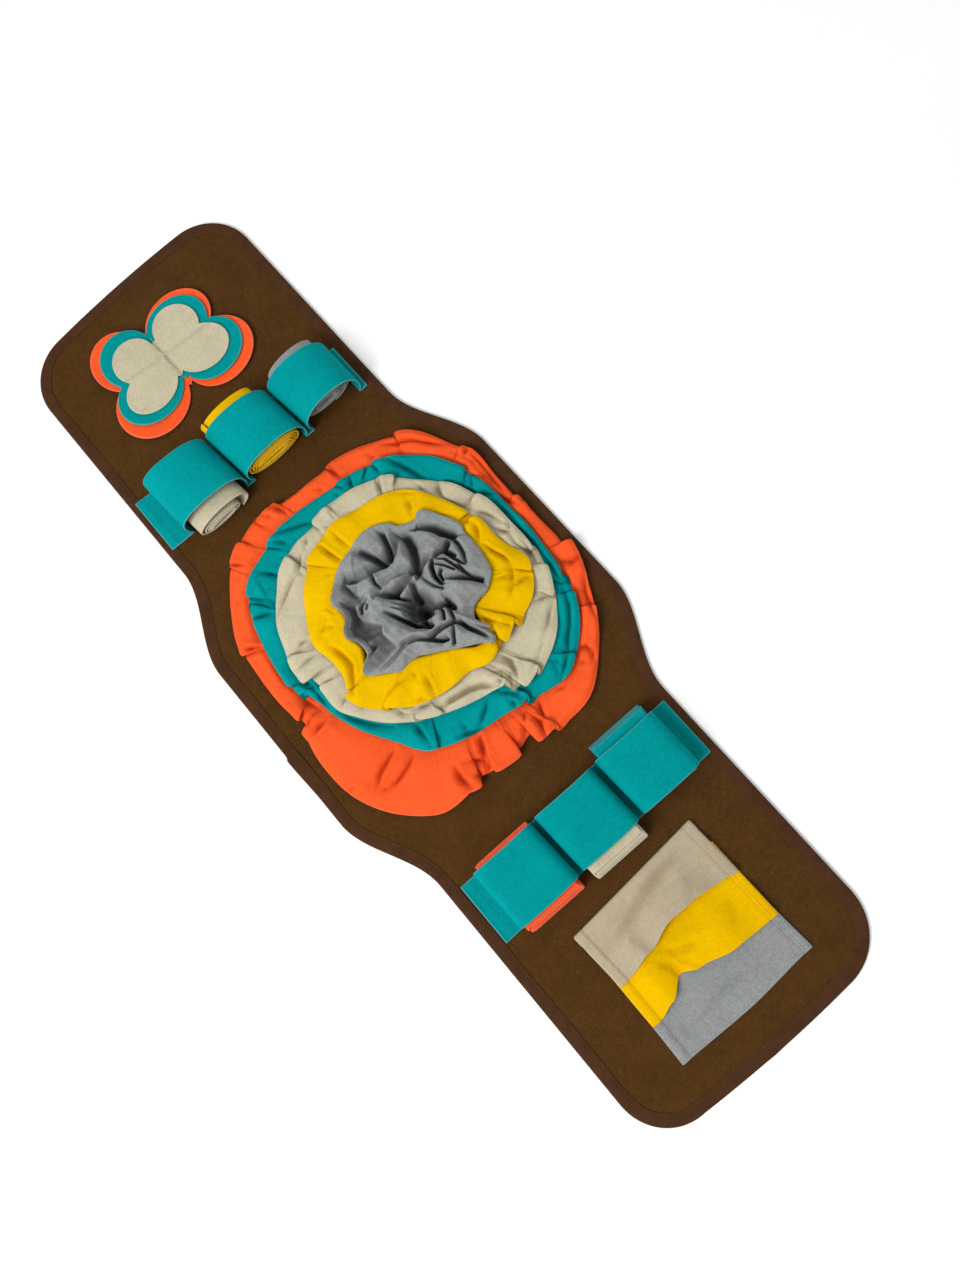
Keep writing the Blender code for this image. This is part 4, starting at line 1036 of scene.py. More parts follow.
def pleated(strip, pleats, part):
    """Push round the ring, height, rounding and lost light of one row of the strip."""
    push, height, rounding, lost = np.zeros((4,) + strip.shape)
    for middle, reach, slant, side, first, last, high, length in pleats:
        left = PLEAT_LEFT * (1.0 - smooth((part - 1.0) / 0.6))
        full = left + (1.0 - PLEAT_LEFT) * (1.0 - smooth((part - 0.1) / length))
        s = side * angle_apart(strip, middle + slant * part) / reach
        double_back = np.where(np.abs(s) < 1.0, -PLEAT_PEAK * s * (1.0 - s * s) ** 2, 0.0)
        push = push + side * reach * PLEAT_FOLD * full * double_back
        core = 0.5 * (1.0 - np.sin(0.5 * math.pi * np.clip(s / PLEAT_STEP, -1.0, 1.0)))
        tail = np.exp(-(np.minimum(s + PLEAT_CREST, 0.0) / PLEAT_TAIL) ** 2)
        height = np.maximum(height, core * tail * high * full)
        rounding = np.maximum(rounding, np.exp(-((np.abs(s) - PLEAT_TURN) / 0.22) ** 2))
        corner = np.where(s > PLEAT_FOOT, np.exp(-((s - PLEAT_FOOT) / 0.17) ** 2),
                          smooth((s + 0.1) / 0.4))
        lost = np.maximum(lost, PLEAT_DARK * corner * full)
    return push, height, rounding * PLEAT_CORNER * (1.0 - smooth(part / 0.5)), lost


def sharpened(strip, pleats):
    """The table angle of each point, with the table's jumps drawn together in the pleats."""
    sharp = strip.copy()
    for middle, reach, slant, side, first, last, *sizes in pleats:
        apart = angle_apart(strip, middle)
        quick = mix(first, last, np.clip(0.5 + apart / (0.9 * reach), 0.0, 1.0))
        near = quick + 360.0 * np.round((strip - quick) / 360.0)
        sharp = np.where(np.abs(apart) < 0.5 * (last - first), near, sharp)
    return sharp


def strip_angles(pleats):
    """Stations round the strip, close together in the pleats."""
    stops = [i * STRIP_PACE for i in range(int(360 / STRIP_PACE))]
    count = int(FINE_ZONE * FINE_STATIONS)
    for middle, reach, *sizes in pleats:
        zone = FINE_ZONE * reach
        stops = [a for a in stops if abs(angle_apart(a, middle)) > reach * FINE_ZONE]
        stops += [(middle + zone * i / count) % 360.0 for i in range(-count, count + 1)]
    stops = np.array(sorted(stops))
    return stops[np.concatenate([[True], np.diff(stops) > LEAST_GAP])]


for tier, colour in TIER_NAMES.items():
    print(colour, "pleats:", len(pleats_of(tier)))

# %% [markdown]
# ## Creases
# Besides its pleats, each cloth has creases where it was pushed together. A crease is a line
# drawn on the plan with a depth at each point. It has two sides: on the left of its run the
# cloth drops steeply into it, on the right it slopes out again, gently where that side is
# wide. A negative depth is a ridge. The rings' creases are placed in the ring's own terms:
# degrees round it, and the share of the way in from its free edge.

# %% Creases
PUFF_REACH = 2.8        # how much wider than the crease its soft shoulders are
SLOPE_WIDTH = 6.5       # a side wider than this is a panel's slope, a narrower one a fold
# How strong a ring's crease is, as shares of the ring's own size: (width, depth)
FAINT, PLAIN, DEEP, RIDGE = (0.85, 0.6), (1.0, 1.0), (1.1, 1.45), (0.85, -0.5)
# that size on each ring, mm: (steep side, gentle side, depth)
CREASE_SIZE = {1: (3.5, 6.6, 5.7), 2: (3.0, 6.0, 4.4), 3: (2.6, 5.4, 4.4), 4: (2.5, 5.0, 4.2)}
CREASE_END = 0.35       # share of the depth left at the two ends of a crease


def crease_field(x, y, creases, puff=0.25, sharp=1.15):
    """How far the cloth sinks at each place, for rows (left width, right width, points).

    puff is the share of the depth that goes into the soft shoulders of the crease.
    """
    sunk, raised = np.zeros(x.shape), np.zeros(x.shape)
    for left_width, right_width, points in creases:
        nearest = np.full(x.shape, 1e9)
        depth, side = np.zeros(x.shape), np.zeros(x.shape)
        for (ax, ay, ad), (bx, by, bd) in zip(points, points[1:]):
            run_x, run_y = bx - ax, by - ay
            size = run_x * run_x + run_y * run_y
            t = np.clip(((x - ax) * run_x + (y - ay) * run_y) / size, 0.0, 1.0)
            off_x, off_y = x - ax - t * run_x, y - ay - t * run_y
            gap = np.hypot(off_x, off_y)
            closer = gap < nearest
            nearest = np.where(closer, gap, nearest)
            depth = np.where(closer, mix(ad, bd, t), depth)
            side = np.where(closer, run_x * off_y - run_y * off_x, side)
        width = np.where(side > 0.0, left_width, right_width)
        away = nearest / width
        fold = np.clip(1.0 - away, 0.0, 1.0) ** sharp
        core = np.where(width > SLOPE_WIDTH, 1.0 - smooth(away), fold)
        shape = ((1.0 - puff) * core + puff * (1.0 - smooth(away / PUFF_REACH))) * depth
        sunk = (sunk ** 4 + np.maximum(shape, 0.0) ** 4) ** 0.25
        raised = raised + np.minimum(shape, 0.0)
    return sunk + raised


# (strength, breadth of its gentle side, then (degrees, share of the way to the next ring) ...)
ORANGE_CREASES = (
    (PLAIN, 1, (123, 0), (122, 0.55)),
    (FAINT, 1, (126, 0.3), (126, 0.5)),
    (FAINT, 1, (105, 0.2), (104, 0.5)),
    (PLAIN, 1.2, (101, 0), (100, 0.45)),
    (FAINT, 1, (87, 0.5), (85, 0.8)),
    (PLAIN, 1, (79, 0), (78, 0.5), (77, 0.9)),
    (FAINT, 1, (65, 0.45), (63, 0.8)),
    (PLAIN, 0.8, (60, 0.2), (55, 0.35), (50, 0.42), (44, 0.35), (39, 0.15)),
    (FAINT, 1, (35, 0.3), (28, 0.5), (22, 0.6), (17, 0.6)),
    (PLAIN, 1.2, (31, 0.1), (31, 0.45)),
    (PLAIN, 0.8, (31, 0.2), (25, 0.25), (18, 0.3), (12, 0.35)),
    (PLAIN, 1.2, (13, 0.8), (9, 0.6), (5, 0.5)),
    (DEEP, 0.8, (5, 0), (4, 0.15)),
    (PLAIN, 1.3, (337, 0.75), (336, 0.4), (337, 0.05)),
    (PLAIN, 0.8, (330, 0.12), (325, 0.25), (320, 0.2), (316, 0.1)),
    (PLAIN, 1.1, (306, 1), (307, 0.6), (306, 0.25)),
    (PLAIN, 0.8, (306, 0.25), (303, 0.2)),
    (FAINT, 1, (302, 0.5), (301, 0.75)),
    (FAINT, 1, (292, 0.75), (290, 0.85)),
    (PLAIN, 1, (284, 0.95), (281, 0.6), (279, 0.33)),
    (PLAIN, 0.8, (274, 0.5), (277, 0.85)),
    (DEEP, 1, (278, 0.75), (278, 0.4), (276, 0.03)),
    (PLAIN, 0.8, (273, 0.3), (272, 0.1)),
    (DEEP, 1.2, (258, 0.95), (257, 0.6), (255, 0.3)),
    (PLAIN, 1, (249, 0.55), (253, 0.4), (256, 0.25)),
    (PLAIN, 0.8, (256, 0.25), (255, 0)),
    (DEEP, 1.2, (245, 0.58), (246, 0.35), (248, 0.07)),
    (DEEP, 0.7, (251, 0), (251, 0.1)),
    (PLAIN, 1, (222, 0.9), (220, 0.7), (218, 0.45), (218, 0.3)),
    (PLAIN, 1, (230, 0.9), (228, 0.7), (225, 0.48), (222, 0.33)),
    (FAINT, 1.5, (218, 0.28), (222, 0.3)),
    (FAINT, 1, (209, 0.02), (211, 0.15)),
    (FAINT, 1, (215, 0.35), (216, 0.2)),
    (PLAIN, 1.4, (190, 0.75), (190, 0.5), (190, 0.3)),
    (PLAIN, 1.6, (175, 0.9), (179, 0.8), (184, 0.8)),
    (DEEP, 0.8, (184, 0), (185, 0.15)),
    (PLAIN, 1.1, (150, 0.3), (150, 0.75)),
    (FAINT, 1, (134, 0.3), (134, 0.45)),
)
TEAL_CREASES = (
    (PLAIN, 1.4, (112, 0.1), (110, 0.4), (109, 0.75)),
    (PLAIN, 1.2, (109, 0), (104, 0.3), (99, 0.6), (95, 0.95)),
    (FAINT, 1, (82, 0.45), (81, 0.7)),
    (DEEP, 1.2, (74, 0.15), (75, 0.9)),
    (DEEP, 1.3, (59, 0.08), (54, 0.35), (49, 0.62), (44, 0.88)),
    (DEEP, 1, (123, 0.3), (122, 0.95)),
    (RIDGE, 1.2, (126, 0.2), (131, 0.55), (137, 0.9)),
    (DEEP, 1, (140, 0), (139, 0.4), (138, 0.75)),
    (FAINT, 1, (134, 0.8), (133, 1)),
    (PLAIN, 1.4, (36, 0.9), (29, 0.85), (22, 0.8), (17, 0.6), (15, 0.3)),
    (DEEP, 0.8, (14, 0.9), (8, 0.85), (2, 0.85), (354, 0.8), (348, 0.7), (343, 0.6)),
    (PLAIN, 0.6, (12, 0.6), (4, 0.5), (356, 0.5)),
    (PLAIN, 0.8, (346, 0.55), (340, 0.6), (334, 0.55), (329, 0.35)),
    (DEEP, 0.8, (326, 0.4), (320, 0.4), (314, 0.42), (308, 0.45), (303, 0.3)),
    (DEEP, 0.8, (303, 0.3), (299, 0.28), (293, 0.05)),
    (PLAIN, 1, (300, 0.75), (298, 0.45)),
    (PLAIN, 1, (299, 0.85), (296, 0.45), (293, 0.2)),
    (PLAIN, 1.2, (278, 0.95), (280, 0.6), (281, 0.3)),
    (PLAIN, 1, (285, 0.75), (281, 0.6)),
    (DEEP, 1, (277, 0.4), (277, 0.2), (276, 0)),
    (PLAIN, 1.2, (259, 0.1), (262, 0.35), (266, 0.6), (269, 0.85)),
    (DEEP, 1.3, (250, 0.18), (255, 0.12), (260, 0.05)),
    (PLAIN, 1, (254, 0.45), (255, 0.2)),
    (DEEP, 1.1, (232, 0.92), (234, 0.65), (237, 0.33)),
    (FAINT, 1, (236, 0.1), (240, 0.1)),
    (RIDGE, 1.2, (171, 0.3), (174, 0.4), (178, 0.35)),
    (DEEP, 1.4, (170, 0.85), (174, 0.85)),
    (DEEP, 1, (178, 0.55), (182, 0.4), (187, 0.35)),
    (PLAIN, 1.4, (192, 0.7), (200, 0.7), (210, 0.75), (220, 0.8)),
)
CREAM_CREASES = (
    (DEEP, 1, (63, 0.05), (63, 0.5), (63, 1)),
    (FAINT, 1, (95, 0.6), (92, 0.95)),
    (PLAIN, 1.6, (103, 0.25), (106, 0.5)),
    (DEEP, 0.9, (111, 0.5), (115, 0.6), (119, 0.7)),
    (PLAIN, 1, (119, 0.68), (126, 0.46), (133, 0.27), (139, 0.1)),
    (FAINT, 1, (119, 0.7), (119, 0.85)),
    (PLAIN, 1.1, (46, 0.35), (43, 0.8)),
    (DEEP, 1.6, (37, 0.15), (36, 0.45), (33, 0.85)),
    (PLAIN, 1.3, (33, 0.85), (27, 0.9), (21, 0.8)),
    (PLAIN, 1, (17, 0.75), (10, 0.5), (3, 0.3)),
    (DEEP, 1.2, (2, 0.7), (359, 0.5), (357, 0.35)),
    (PLAIN, 0.8, (0, 0.1), (357, 0.35)),
    (PLAIN, 0.8, (357, 0.4), (351, 0.62), (345, 0.6), (340, 0.65)),
    (DEEP, 1.4, (348, 0.25), (341, 0.45)),
    (PLAIN, 1, (322, 0.9), (324, 0.25)),
    (PLAIN, 0.8, (321, 0.12), (317, 0.22), (312, 0.25), (306, 0.25)),
    (FAINT, 0.8, (306, 0.25), (300, 0.2), (295, 0.17), (291, 0.14)),
    (DEEP, 1.6, (292, 0.92), (292, 0.65), (289, 0.45), (286, 0.22)),
    (PLAIN, 0.9, (282, 0.65), (286, 0.62), (286, 0.42), (283, 0.12)),
    (DEEP, 0.9, (282, 0.35), (279, 0.1)),
    (DEEP, 1.6, (276, 0.08), (271, 0.3), (266, 0.4), (260, 0.42), (254, 0.4), (250, 0.35)),
    (PLAIN, 1.4, (233, 0.85), (238, 0.92), (244, 0.95)),
    (FAINT, 1.2, (223, 0.8), (227, 0.6), (232, 0.5)),
    (PLAIN, 1, (224, 0.85), (226, 0.55)),
    (PLAIN, 1.3, (156, 0.45), (154, 0.6), (153, 0.85)),
    (PLAIN, 1, (166, 0.2), (164, 0.55), (163, 0.85)),
    (PLAIN, 1.2, (193, 0.8), (193, 0.3)),
)
YELLOW_CREASES = (
    (PLAIN, 1, (94, 0.15), (96, 0.45), (98, 0.88)),
    (DEEP, 1, (103, 0.1), (106, 0.5), (109, 0.92)),
    (FAINT, 0.8, (57, 0.08), (52, 0.12), (47, 0.1)),
    (PLAIN, 1.2, (51, 0.3), (50, 0.75)),
    (RIDGE, 1, (142, 0.6), (147, 0.75)),
    (PLAIN, 1.2, (154, 0.28), (151, 0.52)),
    (FAINT, 1, (151, 0.5), (155, 0.72)),
    (DEEP, 1.5, (165, 0.4), (171, 0.45), (178, 0.48), (184, 0.5), (190, 0.42), (196, 0.25)),
    (PLAIN, 1.2, (215, 0.45), (220, 0.62), (227, 0.65)),
    (PLAIN, 1.3, (229, 0.75), (234, 0.6)),
    (PLAIN, 1.6, (240, 0.6), (243, 0.4), (246, 0.12)),
    (PLAIN, 1.3, (232, 0.1), (237, 0.1), (241, 0.05)),
    (FAINT, 1, (17, 0.6), (12, 0.3)),
    (DEEP, 1.6, (11, 0.35), (7, 0.45), (2, 0.7)),
    (DEEP, 1, (358, 0.65), (352, 0.58), (346, 0.48), (340, 0.44)),
    (DEEP, 1, (340, 0.44), (334, 0.47), (328, 0.48)),
    (PLAIN, 1, (328, 0.48), (322, 0.42)),
    (DEEP, 0.9, (328, 0.47), (331, 0.3), (333, 0.12)),
    (PLAIN, 1, (333, 0.85), (335, 0.5)),
    (DEEP, 1.5, (304, 0.95), (305, 0.7), (307, 0.42)),
    (PLAIN, 1, (307, 0.3), (308, 0.1)),
    (PLAIN, 1, (302, 0.5), (299, 0.25)),
)
RING_CREASES = {1: ORANGE_CREASES, 2: TEAL_CREASES, 3: CREAM_CREASES, 4: YELLOW_CREASES}


def ring_spot(tier, angle, part):
    """A place on a ring, from its free edge (part 0) to the next ring's edge (part 1), in mm."""
    outer = at_ring(tier, angle, round_table(EDGES[tier], 1, angle))
    inner = at_ring(tier + 1, angle, broad(tier + 1, angle))
    return mix(outer, inner, part)


def ring_creases(tier):
    """A ring's creases on the plan: (left width, right width, ((x, y, depth), ...))."""
    steep, gentle, deep = CREASE_SIZE[tier]
    creases = []
    for (width, depth), breadth, *path in RING_CREASES[tier]:
        spots = [ring_spot(tier, angle, part) for angle, part in path]
        if len(spots) == 2:
            spots.insert(1, (spots[0] + spots[1]) / 2.0)
        depths = [deep * depth] * len(spots)
        depths[0] = depths[-1] = deep * depth * CREASE_END
        creases.append((steep * width, gentle * width * breadth,
                        [(x, y, sunk) for (x, y), sunk in zip(spots, depths)]))
    return creases


print("creases in the rings:", sum(len(rows) for rows in RING_CREASES.values()))

# %% [markdown]
# ## The four rings
# Each ring runs from its free edge, up the mound, under the next ring and down to its seam on
# the base. A position along that run is a ring number: 2.4 is four tenths of the way from the
# second ring's edge to the third's. The pleats are full at the free edge and flatten where the
# next ring lies over them.

# %% Pleated rings
DROP_RING = {1: 3.0, 2: 4.0, 3: 4.6, 4: 5.0}    # ring number at which each drops to its seam
# the drop: (share of the way in, share of the height left)
DROP = ((0.25, 0.8), (0.45, 0.45), (1.0, 0.0))
DROP_INWARD = 9.0       # how far in the seam lies from the drop's start
SEAM_HEIGHT = 4.3
RUFFLE = 0.9            # how strongly the free edges wave
RING_SWELL = 1.1        # how far the rings swell and sink
FREE_ROWS = (0.0, 0.02, 0.06, 0.11, 0.17, 0.23, 0.29, 0.35, 0.41, 0.47, 0.53, 0.59, 0.65, 0.71,
             0.77, 0.83, 0.89, 0.95, 1.0)
HIDDEN_ROWS = 4
ROLL_OVER = 0.9         # how far the last few millimetres of a free edge turn down
EDGE_JOGS = (0.58, -0.26)   # how much of its table's jogs an edge keeps, and more to the front
BILLOW = {1: 2.6, 2: 1.0, 3: 0.8, 4: 0.8}   # how far each ring bulges up between its edges
RING_FLOOR = 4.1        # the first ring's creases stop here, over the base
RING_ROOM = 4.6         # how deep the other rings' creases can go before they meet the next
HIDDEN_DROP = 2.2       # how far a ring sinks once the next one covers it
CREASE_DARK = 0.72      # share of light lost in a crease of the next depth or more
CREASE_DARK_DEPTH = 4.4
# gathers: how many, how deep and how wide at most, and the seed of their places
GATHERS = {1: (24, 1.1, 3.8, 11), 2: (20, 1.0, 3.6, 12), 3: (18, 0.8, 3.4, 13),
           4: (16, 0.8, 3.4, 14)}


def gathers_of(tier):
    """(angle, slant, start, depth, width, side) of the small folds that radiate from a seam."""
    count, depth, width, seed = GATHERS[tier]
    dice = random.Random(seed)
    found = []
    for i in range(count):
        angle = (i + dice.uniform(-0.45, 0.45)) * 360.0 / count
        found.append((angle, dice.uniform(-9.0, 9.0), dice.uniform(0.05, 0.75) ** 1.2,
                      depth * dice.uniform(0.3, 1.0), width * dice.uniform(0.55, 1.0),
                      dice.choice((-1.0, 1.0))))
    return found


def gathered(angle, part, radius, gathers):
    """How far the gathers sink the cloth on one row of a ring."""
    sunk = np.zeros(angle.shape)
    for middle, slant, start, depth, width, side in gathers:
        apart = np.radians(angle_apart(angle, middle)) * radius + slant * (1.0 - part)
        away = np.abs(apart) / (width * np.where(apart * side > 0.0, 1.0, 0.5))
        reach = smooth((part - start) / 0.3) * (1.0 - 0.7 * smooth((part - 1.0) / 0.2))
        sunk = np.maximum(sunk, depth * reach * np.clip(1.0 - away, 0.0, 1.0) ** 1.3)
    return sunk


def on_mound(stop, angle, tier, free_radius):
    """Places and height of the mound at a ring number, with that tier's own free edge."""
    low = min(int(stop), 6)
    outer = at_ring(low, angle, free_radius if low == tier else broad(low, angle))
    inner = at_ring(low + 1, angle, broad(low + 1, angle))
    height = mix(RING_HEIGHT[low], RING_HEIGHT[low + 1], stop - low)
    return mix(outer, inner, stop - low), height


def ring_cloth(tier):
    """The middle surface of one ring and its shade, rows from its free edge to its seam."""
    rows = EDGES[tier]
    pleats = pleats_of(tier)
    strip = strip_angles(pleats)
    sharp = sharpened(strip, pleats)
    even_radius = broad(tier, strip)
    jogs = EDGE_JOGS[0] + EDGE_JOGS[1] * np.sin(np.radians(strip))
    free_radius = even_radius + jogs * (round_table(rows, 1, sharp) - even_radius)
    lift = round_table(rows, 2, sharp)
    gathers, creases = gathers_of(tier), ring_creases(tier)
    stops = [tier + part for part in FREE_ROWS]
    if DROP_RING[tier] > tier + 1.0:
        stops += list(np.linspace(tier + 1.0, DROP_RING[tier], HIDDEN_ROWS + 1)[1:])
    grid, shade = [], []
    for stop in stops:
        part = stop - tier
        push, height, rounding, lost = pleated(strip, pleats, part)
        angle = strip + push
        plan, mound = on_mound(stop, angle, tier, free_radius - rounding)
        x, y = plan.T
        z = mound - LAYER_PITCH * part + RUFFLE * lift * max(0.0, 1.0 - part) ** 0.9
        z = z + height
        z = z + RING_SWELL * (1.0 - smooth((part - 0.7) / 0.4)) * swell(x, y, 0.4, float(tier))
        z = z - ROLL_OVER * np.exp(-part / 0.07) - HIDDEN_DROP * smooth((part - 0.9) / 0.35)
        sunk = crease_field(x, y, creases, puff=-0.3) * smooth((1.05 - part) / 0.2)
        sunk = sunk + gathered(angle, part, free_radius, gathers)
        shade.append(np.maximum(CREASE_DARK * smooth(sunk / CREASE_DARK_DEPTH), lost))
        z = z + BILLOW[tier] * smooth(part / 0.2) * (1.0 - smooth((part - 0.65) / 0.3))
        room = np.maximum(z - RING_FLOOR, 0.3) if tier == 1 else RING_ROOM
        sunk = np.where(sunk > 0.0, room * (1.0 - np.exp(-sunk / room)), sunk)
        grid.append(np.column_stack([plan, z - sunk]))
    last = grid[-1]
    direction = np.column_stack([np.cos(np.radians(strip)), np.sin(np.radians(strip))])
    for share_in, height_left in DROP:
        plan = last[:, :2] - direction * DROP_INWARD * share_in
        grid.append(np.column_stack([plan, mix(SEAM_HEIGHT, last[:, 2], height_left)]))
        shade.append(shade[-1])
    return np.stack(grid), np.stack(shade)


RING_FLATS = {1: (0.062, 1.15), 2: (0.055, 1.02), 3: (0.055, 0.92), 4: (0.050, 0.76)}
for tier, colour in TIER_NAMES.items():
    grid, shade = ring_cloth(tier)
    ring = cloth("ring_" + colour, grid, FLEECES[colour], wrap=True, shade=shade)
    lay(ring, "ruffle_" + colour, RING_FLATS[tier])

# %% [markdown]
# ## The bunched middle
# The middle is one grey cloth, bunched so that its folds crowd round an open heart. A real
# simulation would bunch it differently on every try, so the folds are drawn instead, each as
# the line of its deepest places on the plan. A line has a width on its left and one on its
# right. Where both are narrow, two folds touch. Where one is wide, a crisp fold lies in front
# of a panel that slopes away under it. The deepest line wins at each place, softly, and the
# result is taken off a low dome.

# %% Folds of the middle
# (width on the left, width on the right, ((x, y, depth), ...))
HEART_FOLDS = (
    # the fan at the back
    (1.4, 10, ((10, 89, 5), (15, 78, 12), (19, 67, 17), (22, 57, 20))),
    (5, 3, ((39, 92, 5), (36, 78, 12), (33, 66, 17), (27, 55, 20))),
    (3, 15, ((48, 68, 8), (40, 61, 12), (33, 55, 16), (27, 52, 18), (16, 54, 15), (6, 57, 12),
                 (1, 57, 9), (-3, 59, 10), (-11, 63, 12), (-17, 67, 10))),
    (1.2, 9, ((-22, 81, 4), (-21, 70, 8), (-20, 60, 10), (-19, 49, 10))),
    (3, 12, ((-44, 60, 3), (-33, 55, 7), (-26, 52, 8), (-19, 48, 9))),
    (2.2, 2.2, ((-18, 72, 4), (-13, 66, 9), (-8, 71, 4))),
    (2.5, 2.5, ((-10, 68, -1.5), (0, 81, -2.2), (6, 88, -1.5))),
    # the band across the middle and the roll under it
    (2.3, 2.3, ((6, 58, 8), (4, 52, 11), (2, 46, 10), (3, 40, 8))),
    (2.5, 7, ((37, 33, 7), (28, 36, 6), (18, 39, 6), (5, 40, 6), (-3, 36, 6))),
    (3.5, 11, ((38, 30, 16), (43, 37, 18), (48, 49, 18), (50, 61, 14), (49, 70, 8))),
    (3, 7, ((60, 31, 4), (50, 30, 14), (42, 29, 18), (37, 30, 15))),
    (9, 3, ((-1, 33, 8), (5, 27, 17), (9, 24, 20), (14, 25, 16), (24, 27, 9), (37, 30, 10))),
    (2, 2, ((9, 22, 14), (12, 18, 12), (17, 15, 6))),
    # the right-hand panels
    (3, 9, ((88, 31, 12), (83, 35, 17), (79, 41, 17), (76, 49, 14), (70, 57, 11), (62, 65, 9),
                (53, 73, 5))),
    (2.3, 2.3, ((65, 63, 9), (68, 67, 9), (72, 73, 5))),
    (3, 4, ((57, 29, 6), (64, 28, 13), (72, 27, 17), (79, 31, 13))),
    (2.5, 2.5, ((71, 27, 17), (73, 22, 17), (75, 16, 12))),
    (2.5, 2.5, ((84, 32, 12), (85, 24, 10), (83, 14, 9), (79, 5, 6))),
    (2, 2, ((70, 25, 12), (72, 16, 13), (75, 8, 9), (77, 4, 5))),
    # the curls
    (3.5, 2, ((56, 27, 12), (51, 22, 15), (48, 14, 15), (48, 5, 13), (50, 2, 6))),
    (2, 3, ((39, 27, 6), (40, 16, 6), (43, 6, 7), (47, 0, 6))),
    (2.2, 2.2, ((52, 5, 11), (53, 11, 15), (57, 13, 13))),
    (1.8, 1.8, ((60, 25, 5), (66, 18, 9), (69, 8, 10), (71, -2, 8))),
    (1.7, 1.7, ((57, 21, 6), (62, 14, 8), (66, 5, 7))),
    (4, 3, ((54, 6, 4), (63, -3, 10), (73, -11, 15), (82, -22, 16))),
    (2, 2, ((72, 6, 9), (72, -2, 10), (74, -8, 11))),
    # the hollow in the middle and the loop beside it
    (4.5, 4, ((28, 22, 9), (24, 14, 18), (21, 6, 26), (19, 0, 28), (14, -9, 26), (11, -14, 22),
                (15, -20, 17))),
    (3.5, 4.5, ((21, 0, 26), (28, -6, 23), (36, -11, 22), (42, -14, 23), (43, -20, 18))),
    (4, 3, ((42, -12, 22), (42, -21, 19))),
    (2, 2, ((32, -13, 9), (33, -17, 12), (29, -24, 9))),
    (2.5, 2.5, ((39, -15, 12), (38, -22, 12), (36, -30, 10))),
    # the tongue and the broad panel on the left
    (2.5, 3.5, ((-7, 17, 5), (-3, 8, 13), (2, -3, 18), (6, -11, 21), (11, -15, 20))),
    (1.4, 1.4, ((0, 17, 2.5), (7, 7, 4), (12, -1, 4))),
    (1.4, 1.4, ((3, 21, 2), (10, 11, 3.5), (15, 2, 3.5))),
    (2, 2, ((-25, 33, 6), (-23, 37, 12), (-19, 39, 12), (-13, 40, 6))),
    (2, 2, ((-19, 33, 4), (-16, 35, 7), (-15, 37, 3))),
    (1.2, 24, ((-19, 49, 11), (-27, 43, 13), (-31, 35, 14), (-31, 27, 14), (-25, 18, 15),
                 (-19, 11, 15), (-24, 4, 13), (-22, -8, 9), (-20, -16, 3))),
    (7, 2.5, ((-60, -3, 5), (-46, 0, 11), (-35, 3, 11), (-25, 6, 10))),
    # the lower edge and the tail
    (2.5, 3.5, ((-46, -19, 3), (-25, -18, 7), (-12, -16, 7), (-3, -19, 8), (4, -25, 10),
                (9, -30, 13), (15, -36, 15), (19, -38, 13))),
    (3, 3, ((7, -27, 11), (20, -28, 17), (34, -32, 15))),
    (2, 2, ((31, -35, 7), (25, -41, 10), (19, -48, 7))),
    (3, 3, ((34, -31, 13), (38, -36, 17), (40, -44, 16), (44, -52, 12), (47, -59, 7),
                (49, -64, 1))),
)
print("folds in the middle:", len(HEART_FOLDS))

# %% [markdown]
# The cloth of the middle is a height over the plan, so where a fold's wall is steep its
# thickness has to grow with the slope, or it would pinch to nothing. Its edge is free, and at
# the heart it turns down to its seam like a funnel.

# %% The bunched cloth
# points along its free edge, mm, finer than the rosette's table
HEART_OUTLINE = (
    (97, 12), (97, 27), (99, 38), (92, 55), (86, 66), (80, 73), (75, 74), (70, 70), (66, 72),
    (60, 74), (54, 77), (50, 84), (40, 91), (30, 94), (15, 94), (5, 91), (-8, 87), (-20, 82),
    (-30, 74), (-40, 65), (-42, 60), (-40, 51), (-42, 42), (-50, 33), (-52, 27), (-47, 18),
    (-46, 10), (-47, 2), (-54, -3), (-61, -9), (-58, -15), (-50, -20), (-42, -25), (-33, -31),
    (-22, -30), (-10, -32), (5, -41), (20, -50), (40, -62), (50, -69), (54, -64), (57, -58),
    (51, -53), (50, -40), (57, -32), (66, -29), (74, -29), (82, -25), (92, -15), (95, -4),
)


def seen_from_centre(points, centre):
    """Points on the plan as (angle in degrees, radius) about a centre, in order of angle."""
    away = [(x - centre[0], y - centre[1]) for x, y in points]
    return sorted((math.degrees(math.atan2(y, x)) % 360.0, math.hypot(x, y)) for x, y in away)


HEART_EDGE = seen_from_centre(HEART_OUTLINE, RING_CENTRE[5])
HEART_COLUMNS = 420
HEART_RIM_ROWS = (5.0, 5.012, 5.03, 5.06)   # ring numbers of the rows close to the free edge
HEART_FINE_START, HEART_FINE_ROWS = 5.09, 90
HEART_LEAST_DEPTH = 1.2     # folds at the free edge stay shallow: the yellow ring is close below
HEART_RIM_DEPTH = 4.0       # and may be this much deeper just inside it
HEART_MOST_DEPTH = 30.0     # and this much further in
HEART_DEEPEN = 1.6          # the folds' depths and widths are multiplied by these
HEART_NARROW = 0.92
HEART_LUMPS = 1.6           # how far the dome swells and sinks
HEART_HOLLOW = 24.0         # how deep the middle lies under the dome
HEART_STEEPEST = 2.4        # a wall is at most this much thicker than the fleece, seen from above
HEART_FLOOR = 3.3
# the funnel below the heart: (radius, share of the height left over the floor)
HEART_WALL = ((7.6, 0.9), (6.8, 0.75), (5.6, 0.5), (4.6, 0.3), (3.8, 0.15), (3.4, 0.0))
